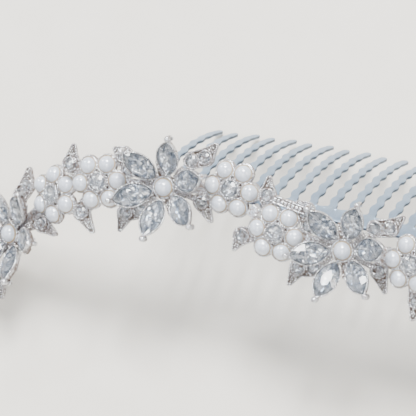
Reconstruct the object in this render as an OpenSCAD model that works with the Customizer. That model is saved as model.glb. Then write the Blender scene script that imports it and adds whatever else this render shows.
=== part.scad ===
// Tiara comb: five cast flower units of foil-backed crystal and half-round pearls in a
// shallow arch, soldered to a stamped hair comb. Millimetres, +Z up. It lies on a surface
// as it does by itself, on its two end rosettes and on the tips of its outer teeth.
// The origin is on that surface, under the middle of the whole piece.

/* [Comb] */
// Number of teeth
tooth_count = 22; // [16:2:24]
// Distance between neighbouring teeth
tooth_pitch = 4; // [3.6:0.05:4.4]
// Length of a long tooth along its curve
tooth_length = 36.6; // [30:0.2:44]
// How much shorter every other tooth is
tooth_stagger = 2; // [0:0.25:4]
// Width of a tooth
tooth_w = 1.6; // [1.3:0.05:2.2]
// Sideways swing of a tooth's waves, each way
wave_h = 0.25; // [0.1:0.05:0.35]
// Waves along a tooth
wave_count = 8; // [5:1:10]
// Thickness of the comb's sheet
comb_t = 0.7; // [0.5:0.05:1]
// Angle that a tooth turns through from its root to its tip
tooth_bend = 23; // [15:1:30]
// Distance of the teeth's roots behind the face of the middle flower
comb_y = 10.2; // [9.4:0.2:12]
// Height of the spine above the middle of the middle flower
comb_z = 2.5; // [1.5:0.1:3.5]
// Radius of the comb's arch from side to side
comb_arch_r = 320; // [260:10:400]

/* [Stones] */
// Length of a marquise stone
marquise_l = 8; // [7:0.1:9]
// Width of a marquise stone
marquise_w = 4.2; // [3.8:0.1:4.6]
// Diameter of the round stone in a rosette
round_d = 3.4; // [3:0.1:3.8]
// Diameter of the small stones in the leaves
leaf_d = 2.4; // [2:0.1:2.6]
// Diameter of the pearl in the middle of a marquise flower
centre_pearl_d = 3.5; // [3:0.1:4]
// Diameter of the half-round pearls round a rosette
ring_pearl_d = 3.3; // [3:0.1:3.6]

/* [Castings] */
// Metal round a stone
cup_wall = 0.45; // [0.35:0.05:0.6]
// Metal round and between the pearls of a rosette
pearl_wall = 0.3; // [0.25:0.05:0.45]
// Thickness of metal under a stone
cup_floor = 0.5; // [0.4:0.05:0.8]
// Depth of the pocket that a marquise stone sits in
marquise_seat = 1; // [0.8:0.1:1.4]
// Depth of the pocket that a round stone or a pearl sits in
round_seat = 0.5; // [0.4:0.05:0.7]
// Gap between each stone or pearl and its metal
fit_gap = 0.1; // [0.06:0.01:0.15]
// Diameter of the ball prongs
prong_d = 1.3; // [1:0.1:1.6]
// Angle by which the marquise cups rise to their outer tips
petal_tilt = 32; // [25:1:38]
// Turn of the marquise cups in the face, the first one up from the inner rosette
petal_turn = 16; // [0:1:25]
// Angle by which the pearls of a rosette lean outwards
pearl_lean = 16; // [8:1:20]
// Width of the bars that join the flowers
bar_w = 2.2; // [1.6:0.1:3]
// Height of the flowers' faces above the backs of their castings
face_h = 2.5; // [2:0.1:3]

/* [Arrangement] */
// Lean of the flowers back from square to the comb
face_lean = 23; // [15:1:30]
// Distance of the inner side units from the middle
inner_x = 38.6; // [37:0.2:41]
// Height of the inner side units above the middle
inner_z = 3.6; // [2:0.2:5]
// Turn of the inner side units in the face
inner_turn = 10; // [6:1:12]
// Turn of the inner side units outwards, seen from above
inner_yaw = 4; // [0:1:8]
// Distance of the end units from the middle
end_x = 70.9; // [70:0.1:72]
// Height of the end units above the middle, less than nothing as they hang lower
end_z = -13.6; // [-15:0.2:-13]
// Turn of the end units in the face
end_turn = 46; // [42:1:50]
// Turn of the end units outwards, seen from above
end_yaw = 26; // [20:1:30]
// Plan radius that the row of flowers follows round the head
wrap_r = 208; // [195:1:230]

/* [Hidden] */
UNIT_NAMES = ["left_end", "left", "centre", "right", "right_end"];
$fn = 48;
sheet_fn = 360;
tall = 30;

// Each casting has one flower of marquise cups between two rosettes of pearls
casting_t = cup_floor + round_seat;
centre_r = centre_pearl_d / 2 + fit_gap + cup_wall;
cup_h = cup_floor + marquise_seat;
arc_r = (pow(marquise_l, 2) + pow(marquise_w, 2)) / 4 / marquise_w;
arc_off = arc_r - marquise_w / 2;
cup_half_l = sqrt(pow(arc_r + fit_gap + cup_wall, 2) - pow(arc_off, 2));
petal_sink = 0.3;
petal_r = centre_r + cup_half_l * cos(petal_tilt) - petal_sink;
petal_z = cup_half_l * sin(petal_tilt) + cup_h * cos(petal_tilt) + petal_sink;
rib_w = 1.2;
rib_h = 0.8;
prong_x = marquise_l / 2 + 2 * fit_gap + prong_d / 2;
rail_w = 1.2;
rail_h = casting_t + 0.6;
stub_root = 0.8;
stub_notch = 0.38;
spine_front = 5.6;
pearl_seat_r = ring_pearl_d / 2 + fit_gap;
ring_r = max(2 * pearl_seat_r + pearl_wall, round_d / 2 + fit_gap + pearl_wall + pearl_seat_r);
rosette_r = ring_r + pearl_seat_r + pearl_wall;
pearl_rim_z = casting_t + 0.3;
pearl_dome = 0.25;
stone_cup_r = round_d / 2 + fit_gap + pearl_wall * 2 / 3;
stone_cup_h = casting_t + 1.3;
reach = petal_r + cup_half_l * cos(petal_tilt) + 3.94;
side_lift = 0.4;
leaf_r = leaf_d / 2 + fit_gap + cup_wall;

// Leaves between the petals: radius as a share of the reach and angle, first of the point,
// then of each stone from the outer one inwards
LEAVES = [
    [[0.97, 40], [0.735, 37], [0.545, 46]],
    [[0.93, 147], [0.765, 147], [0.6, 158]],
    [[0.935, 223], [0.715, 213], [0.51, 222]],
    [[0.82, 327], [0.575, 342]]
];
// Link leaves on an outer rosette: radius in rosette radii and angle, of the stone and the
// point. The last row is for the middle unit's right rosette, as a mirror shows it.
LINKS = [
    [],
    [[1.18, 153, 1.5, 130], [1.22, 238, 1.68, 262]],
    [[1.24, 116, 1.8, 109], [1.2, 198, 1.56, 213]],
    [[1.24, 252, 1.8, 259], [1.2, 198, 1.56, 213]]
];
// Angle of the first pearl in the outer and the inner rosette of each unit
PEARL_TURN = [[57, 57], [6, 51], [58, 58]];
// Distance from the middle, height, outward turn and turn in the face of each unit
UNITS = [
    [end_x, end_z, end_yaw, end_turn],
    [inner_x, inner_z, inner_yaw, inner_turn],
    [0, 0, 0, 0]
];

// The row of flowers curves back round the head
function wrap_depth(x) = wrap_r - sqrt(pow(wrap_r, 2) - pow(x, 2));
function rot_x(p, a) = [p[0], p[1] * cos(a) - p[2] * sin(a), p[1] * sin(a) + p[2] * cos(a)];
function rot_z(p, a) = [p[0] * cos(a) - p[1] * sin(a), p[0] * sin(a) + p[1] * cos(a), p[2]];
// Height of a rosette's sloping face at a radius
function rim_z(r) = pearl_rim_z - (r - ring_r) * tan(pearl_lean);
function polar(r, a) = [r * cos(a), r * sin(a)];
function on_reach(row) = polar(row[0] * reach, row[1]);

// A direction and a point of the left end unit, turned with the rest of the piece by tilt
function end_dir(p, tilt) = rot_x(rot_z(rot_x(rot_z(p, end_turn), 90), -end_yaw), -face_lean - tilt);
function end_point(p, tilt) = end_dir(p, tilt)
    + rot_x([-end_x, wrap_depth(end_x), end_z], -face_lean - tilt);

// Scallops of the end rosette's back
foot_centres = [for (k = [0:5])
    rot_z([ring_r, 0, -face_h], PEARL_TURN[0][0] + 60 * k) + [-reach, side_lift, 0]];
// How far down the end rosette reaches
function foot_reach(tilt) = min([for (p = foot_centres) end_point(p, tilt)[2]])
    - (pearl_seat_r + pearl_wall) * sqrt(1 - pow(end_dir([0, 0, 1], tilt)[2], 2));

// Lowest corner of the outer tooth's tip
tooth_r = tooth_length / tooth_bend * 180 / PI;
half_comb = (tooth_count - 1) / 2 * tooth_pitch;
arch_a = asin(half_comb / comb_arch_r);
tip_l = tooth_r * sin(tooth_bend);
tip_r = comb_arch_r - tooth_r + sqrt(pow(tooth_r - comb_t / 2, 2) - pow(tip_l, 2));
tip_y = comb_y + tip_l;
tip_z = comb_z - comb_arch_r + tip_r * cos(arch_a) - tooth_w / 4 * sin(arch_a);
function tip_point(tilt) = rot_x([0, tip_y, tip_z], -tilt);
// Upper corner of a middle tooth's tip, the rearmost point of the piece
tip_top_z = comb_z - tooth_r + sqrt(pow(tooth_r + comb_t / 2, 2) - pow(tip_l, 2));
// How far forward the ball prongs of the left end unit reach
function prong_reach(tilt) = min([for (k = [0:5])
    let (p = polar(petal_r + prong_x * cos(petal_tilt), 60 * k + petal_turn))
        end_point([p[0], p[1], petal_z + prong_x * sin(petal_tilt) - face_h], tilt)[1]])
    - prong_d / 2;

// Centre of a left-hand unit's rosette in the comb's frame before the lean
function rosette_centre(i, s) = let (row = UNITS[i])
    [-row[0], wrap_depth(row[0]), row[1]]
    + rot_z(rot_x(rot_z([(2 * s - 1) * reach, side_lift, 0], row[3]), 90), -row[2]);
// From a unit's outer rosette to the next unit's inner one, in the unit's own frame
function next_rosette(i) = let (row = UNITS[i])
    rot_z(rot_x(rot_z(rosette_centre(i - 1, 1) - rosette_centre(i, 0), row[2]), -90), -row[3]);
// Height of the comb's sheet, and depth of its front edge, at a distance from the middle
function sheet_z(x) = comb_z - comb_arch_r + sqrt(pow(comb_arch_r, 2) - pow(x, 2));
function spine_y(x) = spine_front + wrap_depth(x);

// Angle at which both touch the surface, found by halving
function rest_angle(lo, hi, n) = n == 0
    ? (lo + hi) / 2
    : foot_reach((lo + hi) / 2) < tip_point((lo + hi) / 2)[2]
        ? rest_angle((lo + hi) / 2, hi, n - 1)
        : rest_angle(lo, (lo + hi) / 2, n - 1);
rest_tilt = rest_angle(0, 70, 30);
mid_y = (prong_reach(rest_tilt) + rot_x([0, tip_y, tip_top_z], -rest_tilt)[1]) / 2;

module in_rest() {
    translate([0, -mid_y, -foot_reach(rest_tilt)])
        rotate([-rest_tilt, 0, 0])
            children();
}

// Places what is drawn on a unit's own face, X to its inner rosette and Z to the viewer
module at_unit(u) {
    row = UNITS[min(u, 4 - u)];
    in_rest()
        mirror([u > 2 ? 1 : 0, 0, 0])
            rotate([-face_lean, 0, 0])
                translate([-row[0], wrap_depth(row[0]), row[1]])
                    rotate([0, 0, -row[2]])
                        rotate([90, 0, 0])
                            rotate([0, 0, row[3]])
                                translate([0, 0, -face_h])
                                    children();
}

module at_petal(k) {
    rotate([0, 0, 60 * k + petal_turn])
        translate([petal_r, 0, petal_z])
            rotate([0, -petal_tilt, 0])
                children();
}

// s is 0 for the outer rosette and 1 for the inner one
module at_rosette(s) {
    translate([(2 * s - 1) * reach, side_lift, 0])
        children();
}

module at_ring_pearl(turn, k) {
    rotate([0, 0, turn + 60 * k])
        translate([ring_r, 0, pearl_rim_z])
            rotate([0, pearl_lean, 0])
                children();
}

module marquise_outline(grow) {
    intersection() {
        translate([0, -arc_off])
            circle(arc_r + grow, $fn = 96);
        translate([0, arc_off])
            circle(arc_r + grow, $fn = 96);
    }
}

// A round boss drawn out to a point, as a flat outline
module leaf_outline(r, stone, point) {
    way = point - stone;
    len_way = norm(way);
    side = acos(r / len_way);
    a = atan2(way[1], way[0]);
    translate(stone) {
        circle(r);
        polygon([[0, 0], polar(r * 0.9, a - side), way, polar(r * 0.9, a + side)]);
    }
}

module bar_outline(from, to, w) {
    way = to - from;
    translate(from)
        rotate(atan2(way[1], way[0]))
            translate([0, -w / 2])
                square([norm(way), w]);
}

// Stub under an outer rosette that reaches into a notch of the next casting's inner one
module link_stub(i) {
    way = next_rosette(i);
    long = norm([way[0], way[1]]) - 2 * rosette_r + stub_notch;
    rotate([0, 0, atan2(way[1], way[0])])
        translate([rosette_r - stub_root, -bar_w / 2, way[2] + casting_t / 4])
            cube([long + stub_root, bar_w, casting_t * 3 / 4 - way[2]]);
}

// Lug behind a rosette of the middle casting that carries the comb's spine
module comb_lug(x) {
    back_y = sheet_z(x) * tan(face_lean) + face_h / cos(face_lean);
    translate([x - bar_w, back_y - casting_t / 2, sheet_z(x) - comb_t / 2])
        cube([2 * bar_w, spine_y(x - bar_w) - fit_gap - back_y + casting_t / 2, comb_t]);
}

// Flat back of a casting: both rosettes, the leaves and the bars between
module back_outline(u) {
    outer = [-reach, side_lift];
    inner = [reach, side_lift];
    circle(centre_r + cup_wall);
    bar_outline([0, 0], outer, bar_w);
    bar_outline([0, 0], inner, bar_w);
    for (row = LEAVES) {
        bar_outline([0, 0], on_reach(row[1]), bar_w / 2);
        leaf_outline(leaf_r, on_reach(row[1]), on_reach(row[0]));
        for (i = [1:len(row) - 1])
            translate(on_reach(row[i]))
                circle(leaf_r);
    }
    for (s = link_sides(u))
        mirror([s, 0])
            translate(outer)
                for (row = LINKS[min(u, 4 - u) + s]) {
                    stone = polar(row[0] * rosette_r, row[1]);
                    bar_outline([0, 0], stone, bar_w);
                    leaf_outline(leaf_r, stone, polar(row[2] * rosette_r, row[3]));
                }
}

// The middle casting's top rail, from its upper link leaf to its upper left leaf
module rail_outline() {
    stone = LINKS[2][0];
    bar_outline(
        [-reach, side_lift] + polar(stone[0] * rosette_r, stone[1]),
        on_reach(LEAVES[1][1]),
        rail_w
    );
}

// The middle casting has link leaves on both its rosettes, the others on the outer one
function link_sides(u) = u == 2 ? [0, 1] : [0];

module at_leaf_stones(u) {
    for (row = LEAVES, i = [1:len(row) - 1])
        translate(on_reach(row[i]))
            children();
    for (s = link_sides(u))
        mirror([s, 0, 0])
            translate([-reach, side_lift, 0])
                for (row = LINKS[min(u, 4 - u) + s])
                    translate(polar(row[0] * rosette_r, row[1]))
                        children();
}

// Ball with a tiny flat at each end of its axis
module prong_ball() {
    rotate_extrude()
        intersection() {
            circle(d = prong_d);
            translate([0, -prong_d * 0.49])
                square([prong_d, prong_d * 0.98]);
        }
}

module petal_cup() {
    translate([0, 0, -cup_h])
        linear_extrude(cup_h)
            marquise_outline(fit_gap + cup_wall);
    translate([prong_x, 0, 0])
        rotate([0, 45, 25])
            prong_ball();
    translate([-cup_half_l, -rib_w / 2, -cup_h - rib_h])
        cube([cup_half_l * 1.2, rib_w, rib_h + petal_sink]);
}

// Scalloped disc whose face slopes down outwards, square to the leaning pearls
module rosette_body(turn) {
    edge = rosette_r + 1;
    intersection() {
        linear_extrude(tall) {
            circle(ring_r);
            for (k = [0:5])
                rotate(turn + 60 * k)
                    translate([ring_r, 0])
                        circle(pearl_seat_r + pearl_wall);
        }
        rotate_extrude()
            polygon([
                [0, 0],
                [edge, 0],
                [edge, rim_z(edge)],
                [stone_cup_r / 2, rim_z(stone_cup_r / 2)],
                [0, rim_z(stone_cup_r / 2)]
            ]);
    }
}

module pocket(r, depth) {
    translate([0, 0, -depth])
        cylinder(r = r, h = depth + tall);
}

// One cast unit in white metal, with a pocket for each stone and pearl
module casting(u) {
    color([0.82, 0.83, 0.85])
        at_unit(u)
            difference() {
                union() {
                    linear_extrude(casting_t)
                        back_outline(u);
                    if (u == 2) {
                        linear_extrude(rail_h)
                            rail_outline();
                        for (way = [0, 1])
                            mirror([way, 0, 0]) {
                                translate([-reach, side_lift, 0])
                                    link_stub(2);
                                translate([0, 0, face_h])
                                    rotate([-90, 0, 0])
                                        rotate([face_lean, 0, 0])
                                            comb_lug(reach);
                            }
                    }
                    cylinder(r = centre_r, h = petal_z / 2);
                    for (k = [0:5])
                        at_petal(k)
                            petal_cup();
                    for (s = [0:1])
                        at_rosette(s) {
                            cylinder(r = stone_cup_r, h = stone_cup_h);
                            rosette_body(PEARL_TURN[min(u, 4 - u)][s]);
                        }
                }
                translate([0, 0, petal_z / 2])
                    pocket(centre_pearl_d / 2 + fit_gap, round_seat);
                for (k = [0:5])
                    at_petal(k)
                        translate([0, 0, -marquise_seat])
                            linear_extrude(marquise_seat + marquise_w)
                                marquise_outline(fit_gap);
                for (s = [0:1])
                    at_rosette(s) {
                        translate([0, 0, stone_cup_h])
                            pocket(round_d / 2 + fit_gap, round_seat);
                        for (k = [0:5])
                            at_ring_pearl(PEARL_TURN[min(u, 4 - u)][s], k)
                                translate([0, 0, -round_seat])
                                    cylinder(r = pearl_seat_r, h = round_seat + 1);
                    }
                at_leaf_stones(u)
                    translate([0, 0, cup_floor])
                        cylinder(r = leaf_d / 2 + fit_gap, h = round_seat + 1);
            }
}

// Half-round pearl in its cup, with its flat side a gap above the pocket's floor
module half_pearl(d) {
    r = d / 2;
    intersection() {
        translate([0, 0, fit_gap + pearl_dome])
            sphere(r);
        translate([-r, -r, fit_gap])
            cube([d, d, d]);
    }
}

// Points round a cut stone's girdle: an n-sided circle, or a marquise with its two tips
function round_ring(r, n) = [for (i = [0:n - 1]) polar(r, 360 * i / n)];
function marquise_ring(n) = let (half = acos(arc_off / arc_r))
    [for (side = [1, -1], i = [0:n / 2 - 1])
        let (a = side * 90 - half * (1 - 4 * i / n))
            [arc_r * cos(a), arc_r * sin(a) - side * arc_off]];

// A cut stone with a table, a crown, a thin girdle and a pointed back
module cut_stone(ring, table, crown_h, back_h) {
    n = len(ring);
    girdle_h = 0.1;
    points = concat(
        [for (p = ring) [p[0] * table, p[1] * table, girdle_h + crown_h]],
        [for (p = ring) [p[0], p[1], girdle_h]],
        [for (p = ring) [p[0], p[1], 0]],
        [[0, 0, -back_h]]
    );
    faces = concat(
        [[for (i = [n - 1:-1:0]) i]],
        [for (k = [0:1], i = [0:n - 1]) let (j = (i + 1) % n)
            [k * n + i, k * n + j, (k + 1) * n + j]],
        [for (k = [0:1], i = [0:n - 1]) let (j = (i + 1) % n)
            [k * n + i, (k + 1) * n + j, (k + 1) * n + i]],
        [for (i = [0:n - 1]) [2 * n + i, 2 * n + (i + 1) % n, 3 * n]]
    );
    polyhedron(points, faces);
}

module marquise(u, k) {
    color([0.86, 0.9, 0.95])
        at_unit(u)
            at_petal(k)
                cut_stone(marquise_ring(12), 0.55, marquise_w * 0.16, marquise_seat - fit_gap);
}

module centre_pearl(u) {
    color([0.96, 0.94, 0.9])
        at_unit(u)
            translate([0, 0, petal_z / 2 - round_seat])
                half_pearl(centre_pearl_d);
}

module pearls(u, s) {
    color([0.96, 0.94, 0.9])
        at_unit(u)
            at_rosette(s)
                for (k = [0:5])
                    at_ring_pearl(PEARL_TURN[min(u, 4 - u)][s], k)
                        translate([0, 0, -round_seat])
                            half_pearl(ring_pearl_d);
}

module round_stones() {
    color([0.86, 0.9, 0.95])
        for (u = [0:4], s = [0:1])
            at_unit(u)
                at_rosette(s)
                    translate([0, 0, stone_cup_h])
                        cut_stone(round_ring(round_d / 2, 8), 0.55, round_d * 0.16, round_seat - fit_gap);
}

module leaf_stones() {
    color([0.86, 0.9, 0.95])
        for (u = [0:4])
            at_unit(u)
                at_leaf_stones(u)
                    translate([0, 0, casting_t])
                        cut_stone(round_ring(leaf_d / 2, 8), 0.55, leaf_d * 0.16, round_seat - fit_gap);
}

// Plan outline of a tooth: both edges swing together, and the tip is blunt
module tooth_outline(length) {
    turn = length / tooth_r * 180 / PI;
    steps = [for (w = [0:wave_count - 1], q = [[1 / 6, 1], [1 / 3, 1], [2 / 3, -1], [5 / 6, -1]])
        [(w + q[0]) / wave_count, q[1]]];
    edge = concat(
        [[-1, 0, 1]],
        [for (q = steps) [tooth_r * sin(turn * q[0]), q[1] * wave_h, 1]],
        [[tooth_r * sin(turn), 0, 0.5]]
    );
    polygon(concat(
        [for (p = edge) [p[1] - p[2] * tooth_w / 2, p[0]]],
        [for (i = [len(edge) - 1:-1:0]) [edge[i][1] + edge[i][2] * tooth_w / 2, edge[i][0]]]
    ));
}

module tooth(length) {
    intersection() {
        translate([0, 0, -tall])
            linear_extrude(tall + comb_t)
                tooth_outline(length);
        translate([0, 0, -tooth_r])
            rotate([0, 90, 0])
                difference() {
                    cylinder(r = tooth_r + comb_t / 2, h = 4 * tooth_w, center = true, $fn = sheet_fn);
                    cylinder(r = tooth_r - comb_t / 2, h = 5 * tooth_w, center = true, $fn = sheet_fn);
                }
    }
}

// Spine of the comb: its back edge is straight and its front edge follows the flowers' backs
module spine() {
    intersection() {
        translate([0, 0, -comb_arch_r])
            rotate([-90, 0, 0])
                difference() {
                    cylinder(r = comb_arch_r + comb_t / 2, h = comb_y, $fn = 2 * sheet_fn);
                    translate([0, 0, -1])
                        cylinder(r = comb_arch_r - comb_t / 2, h = comb_y + 2, $fn = 2 * sheet_fn);
                }
        translate([0, 0, -tall / 2])
            linear_extrude(tall)
                intersection() {
                    translate([0, spine_front + wrap_r])
                        circle(wrap_r, $fn = sheet_fn);
                    translate([-half_comb - tooth_w / 2, 0])
                        square([2 * half_comb + tooth_w, comb_y]);
                }
    }
}

module comb() {
    color([0.62, 0.66, 0.71])
        in_rest()
            translate([0, 0, comb_z]) {
                spine();
                for (i = [0:tooth_count - 1])
                    translate([0, comb_y, -comb_arch_r])
                        rotate([0, asin((i - (tooth_count - 1) / 2) * tooth_pitch / comb_arch_r), 0])
                            translate([0, 0, comb_arch_r])
                                tooth(tooth_length - min(i, tooth_count - 1 - i) % 2 * tooth_stagger);
            }
}

comb();
round_stones();
leaf_stones();
for (u = [0:4]) {
    casting(u);
    centre_pearl(u);
    for (s = [0:1])
        pearls(u, s);
    for (k = [0:5])
        marquise(u, k);
}
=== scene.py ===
"""Dresses the tiara comb: cast flowers of crystal and half-round pearl on a stamped comb.

Lengths are millimetres in every class, and one step at the end turns them to metres. Each
shape is drawn in a small frame of its own, such as a petal's or a rosette's, and 4 by 4
matrices carry it to its place on the piece, so it lands on the solid that it stands for.
"""

from __future__ import annotations

import logging
import math
from collections.abc import Sequence
from dataclasses import dataclass, replace
from enum import Enum

import bpy
import numpy as np
from mathutils import Matrix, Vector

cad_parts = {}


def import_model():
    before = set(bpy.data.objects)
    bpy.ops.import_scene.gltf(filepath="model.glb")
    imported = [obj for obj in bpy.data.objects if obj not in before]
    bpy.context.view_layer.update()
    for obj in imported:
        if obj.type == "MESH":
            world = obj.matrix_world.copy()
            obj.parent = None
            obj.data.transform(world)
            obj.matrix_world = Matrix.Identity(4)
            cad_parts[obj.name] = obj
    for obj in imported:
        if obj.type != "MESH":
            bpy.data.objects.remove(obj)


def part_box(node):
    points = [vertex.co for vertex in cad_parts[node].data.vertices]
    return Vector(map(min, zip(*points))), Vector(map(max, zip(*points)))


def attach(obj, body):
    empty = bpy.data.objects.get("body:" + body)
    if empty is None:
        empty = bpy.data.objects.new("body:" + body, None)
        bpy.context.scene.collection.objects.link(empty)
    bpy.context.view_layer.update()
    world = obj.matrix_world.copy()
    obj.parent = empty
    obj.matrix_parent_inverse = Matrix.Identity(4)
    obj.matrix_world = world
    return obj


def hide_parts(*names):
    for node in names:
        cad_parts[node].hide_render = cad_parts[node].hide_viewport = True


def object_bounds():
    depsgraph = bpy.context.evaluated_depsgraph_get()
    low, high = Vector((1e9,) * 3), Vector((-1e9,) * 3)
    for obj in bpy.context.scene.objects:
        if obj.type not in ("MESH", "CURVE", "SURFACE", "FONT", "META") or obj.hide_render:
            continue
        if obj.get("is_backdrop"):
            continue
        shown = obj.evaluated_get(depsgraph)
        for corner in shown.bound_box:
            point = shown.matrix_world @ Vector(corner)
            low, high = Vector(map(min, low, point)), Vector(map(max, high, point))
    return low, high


Array = np.ndarray
Point = tuple[float, float, float]
Profile = Sequence[tuple[float, float]]

LOG = logging.getLogger("tiara_comb")
BODY = "root"
TO_METRES = 0.001
# Radius of the curve round the head, which the row of flowers and the comb's spine follow.
WRAP_R = 208.0
# Thickness of the comb's sheet, and of the lugs that it is soldered to.
SHEET_THICK = 0.7
# How deep a ball's waist counts as lying: half sunk for a grain, nearly clear for a claw. The casting's
# finish paints residue and shade on deep points.
GRAIN_SUNK = 0.5
CLAW_SUNK = 0.2


class Axis(Enum):
    """The axis that a turn or a mirror is about, by its number."""

    X = 0
    Y = 1
    Z = 2


class Slot(Enum):
    """Names of the record's finishes. No piece in this script is given one."""

    CASTING = "casting"
    COMB = "comb"
    CRYSTAL = "crystal"
    PEARL = "pearl"


class Face(Enum):
    """Which of its piece's two finishes a face takes, by its number."""

    MAIN = 0
    SECOND = 1


def turned(axis: Axis, degrees: float) -> Array:
    """Makes the matrix of a turn about one axis.

    Args:
        axis: The axis that stays where it is.
        degrees: The angle, anticlockwise as the axis points at the eye.

    Returns:
        A 4 by 4 matrix.
    """
    a = math.radians(degrees)
    first = (axis.value + 1) % 3
    second = (axis.value + 2) % 3
    matrix = np.eye(4)
    matrix[[first, second], [first, second]] = math.cos(a)
    matrix[first, second] = -math.sin(a)
    matrix[second, first] = math.sin(a)
    return matrix


def moved(x: float, y: float, z: float) -> Array:
    """Makes the 4 by 4 matrix of a move.

    Args:
        x: Length along X.
        y: Length along Y.
        z: Length along Z.

    Returns:
        A 4 by 4 matrix.
    """
    matrix = np.eye(4)
    matrix[:3, 3] = (x, y, z)
    return matrix


def mirrored(axis: Axis) -> Array:
    """Makes the 4 by 4 matrix that turns one axis round.

    Args:
        axis: The axis that is turned round.

    Returns:
        A 4 by 4 matrix.
    """
    matrix = np.eye(4)
    matrix[axis.value, axis.value] = -1.0
    return matrix


def headed(start: Array, way: Array) -> Array:
    """Makes the matrix that starts at a flat point and lays X along a flat way."""
    return moved(start[0], start[1], 0) @ turned(Axis.Z, math.degrees(math.atan2(way[1], way[0])))


def polar(radius: float | Array, degrees: float | Array) -> Array:
    """Flat point or points at a radius and an angle."""
    a = np.radians(degrees)
    return np.stack([radius * np.cos(a), radius * np.sin(a)], axis=-1)


def angles_round(count: int, start: float = 0.0) -> Array:
    """Angles in degrees of so many even steps round a circle."""
    return np.arange(count) * 360.0 / count + start


def lifted(flat: Array, height: float | Array) -> Array:
    """Flat points at one height, or each at its own."""
    return np.column_stack([flat, np.broadcast_to(height, len(flat))])


@dataclass(frozen=True)
class Shell:
    """A closed surface, or several, as whole arrays.

    Attributes:
        points: Corner positions, a row each.
        faces: Point numbers of each face, anticlockwise from outside. A triangle's fourth is -1.
        finish: Number of the finish that each face takes.
        smooth: Whether each face is shaded smooth.
        hollow: How deep each point lies among its neighbours, 0 for open and 1 for deep. The casting's
            finish paints residue and shade where it is deep.
    """

    points: Array
    faces: Array
    finish: Array
    smooth: Array
    hollow: Array

    @staticmethod
    def of(points: Array, faces: Array) -> Shell:
        """Makes a smooth shell of the main finish, with all its points in the open.

        Args:
            points: Corner positions.
            faces: Point numbers of each face.

        Returns:
            The shell.
        """
        finish = np.full(len(faces), Face.MAIN.value)
        return Shell(points, faces, finish, np.ones(len(faces), bool), np.zeros(len(points)))

    @staticmethod
    def joined(shells: Sequence[Shell]) -> Shell:
        """Puts shells side by side in one, with the point numbers of each moved up.

        Args:
            shells: The shells, at least one.

        Returns:
            One shell.
        """
        starts = np.cumsum([0] + [len(s.points) for s in shells[:-1]])
        faces = [np.where(s.faces < 0, -1, s.faces + start) for s, start in zip(shells, starts)]
        return Shell(
            np.concatenate([s.points for s in shells]),
            np.concatenate(faces),
            np.concatenate([s.finish for s in shells]),
            np.concatenate([s.smooth for s in shells]),
            np.concatenate([s.hollow for s in shells]),
        )

    def carried(self, matrix: Array) -> Shell:
        """Moves the shell by a matrix, and turns its faces round where the matrix mirrors it.

        Args:
            matrix: A 4 by 4 matrix.

        Returns:
            The shell in its new place.
        """
        points = self.points @ matrix[:3, :3].T + matrix[:3, 3]
        faces = self.faces
        if np.linalg.det(matrix[:3, :3]) < 0:
            faces = np.where(faces[:, 3:] < 0, faces[:, [2, 1, 0, 3]], faces[:, [3, 2, 1, 0]])
        return replace(self, points=points, faces=faces)

    def copied(self, matrices: Sequence[Array]) -> Shell:
        """Joins one copy of the shell for each matrix."""
        return Shell.joined([self.carried(matrix) for matrix in matrices])

    def second(self) -> Shell:
        """The same shell with its piece's second finish all over."""
        return replace(self, finish=np.full(len(self.faces), Face.SECOND.value))

    def shaded_by_height(self, low: float, high: float) -> Shell:
        """Counts a point as deep by its height: 1 at low and under, 0 at high and over."""
        return replace(self, hollow=np.clip((high - self.points[:, 2]) / (high - low), 0.0, 1.0))

    def shaded_by_ring(self, depths: Sequence[float]) -> Shell:
        """Counts whole rings of a covered stack as deep.

        Args:
            depths: How deep each ring lies. The closing points are as deep as the end rings.

        Returns:
            The shell with its hollows filled in.
        """
        sides = (len(self.points) - 2) // len(depths)
        return replace(self, hollow=np.append(np.repeat(depths, sides), [depths[0], depths[-1]]))

    def to_piece(self, name: str, materials: Sequence[bpy.types.Material]) -> bpy.types.Object:
        """Writes the shell into a Blender mesh, in metres, with its object at the origin.

        Args:
            name: Name of the object and its mesh.
            materials: The finishes, in the order of their numbers.

        Returns:
            The new object.
        """
        mesh = bpy.data.meshes.new(name)
        used = self.faces >= 0
        corners = self.faces[used]
        sides = used.sum(axis=1)
        mesh.vertices.add(len(self.points))
        mesh.vertices.foreach_set("co", (self.points * TO_METRES).astype(np.float32).ravel())
        mesh.loops.add(len(corners))
        mesh.loops.foreach_set("vertex_index", corners.astype(np.int32))
        mesh.polygons.add(len(self.faces))
        mesh.polygons.foreach_set("loop_start", (np.cumsum(sides) - sides).astype(np.int32))
        mesh.polygons.foreach_set("material_index", self.finish.astype(np.int32))
        mesh.polygons.foreach_set("use_smooth", self.smooth.astype(bool))
        depth = mesh.attributes.new("hollow", "FLOAT", "POINT")
        depth.data.foreach_set("value", self.hollow.astype(np.float32))
        for material in materials:
            mesh.materials.append(material)
        mesh.update(calc_edges=True)
        mesh.validate()
        piece = bpy.data.objects.new(name, mesh)
        bpy.context.scene.collection.objects.link(piece)
        return piece


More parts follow.
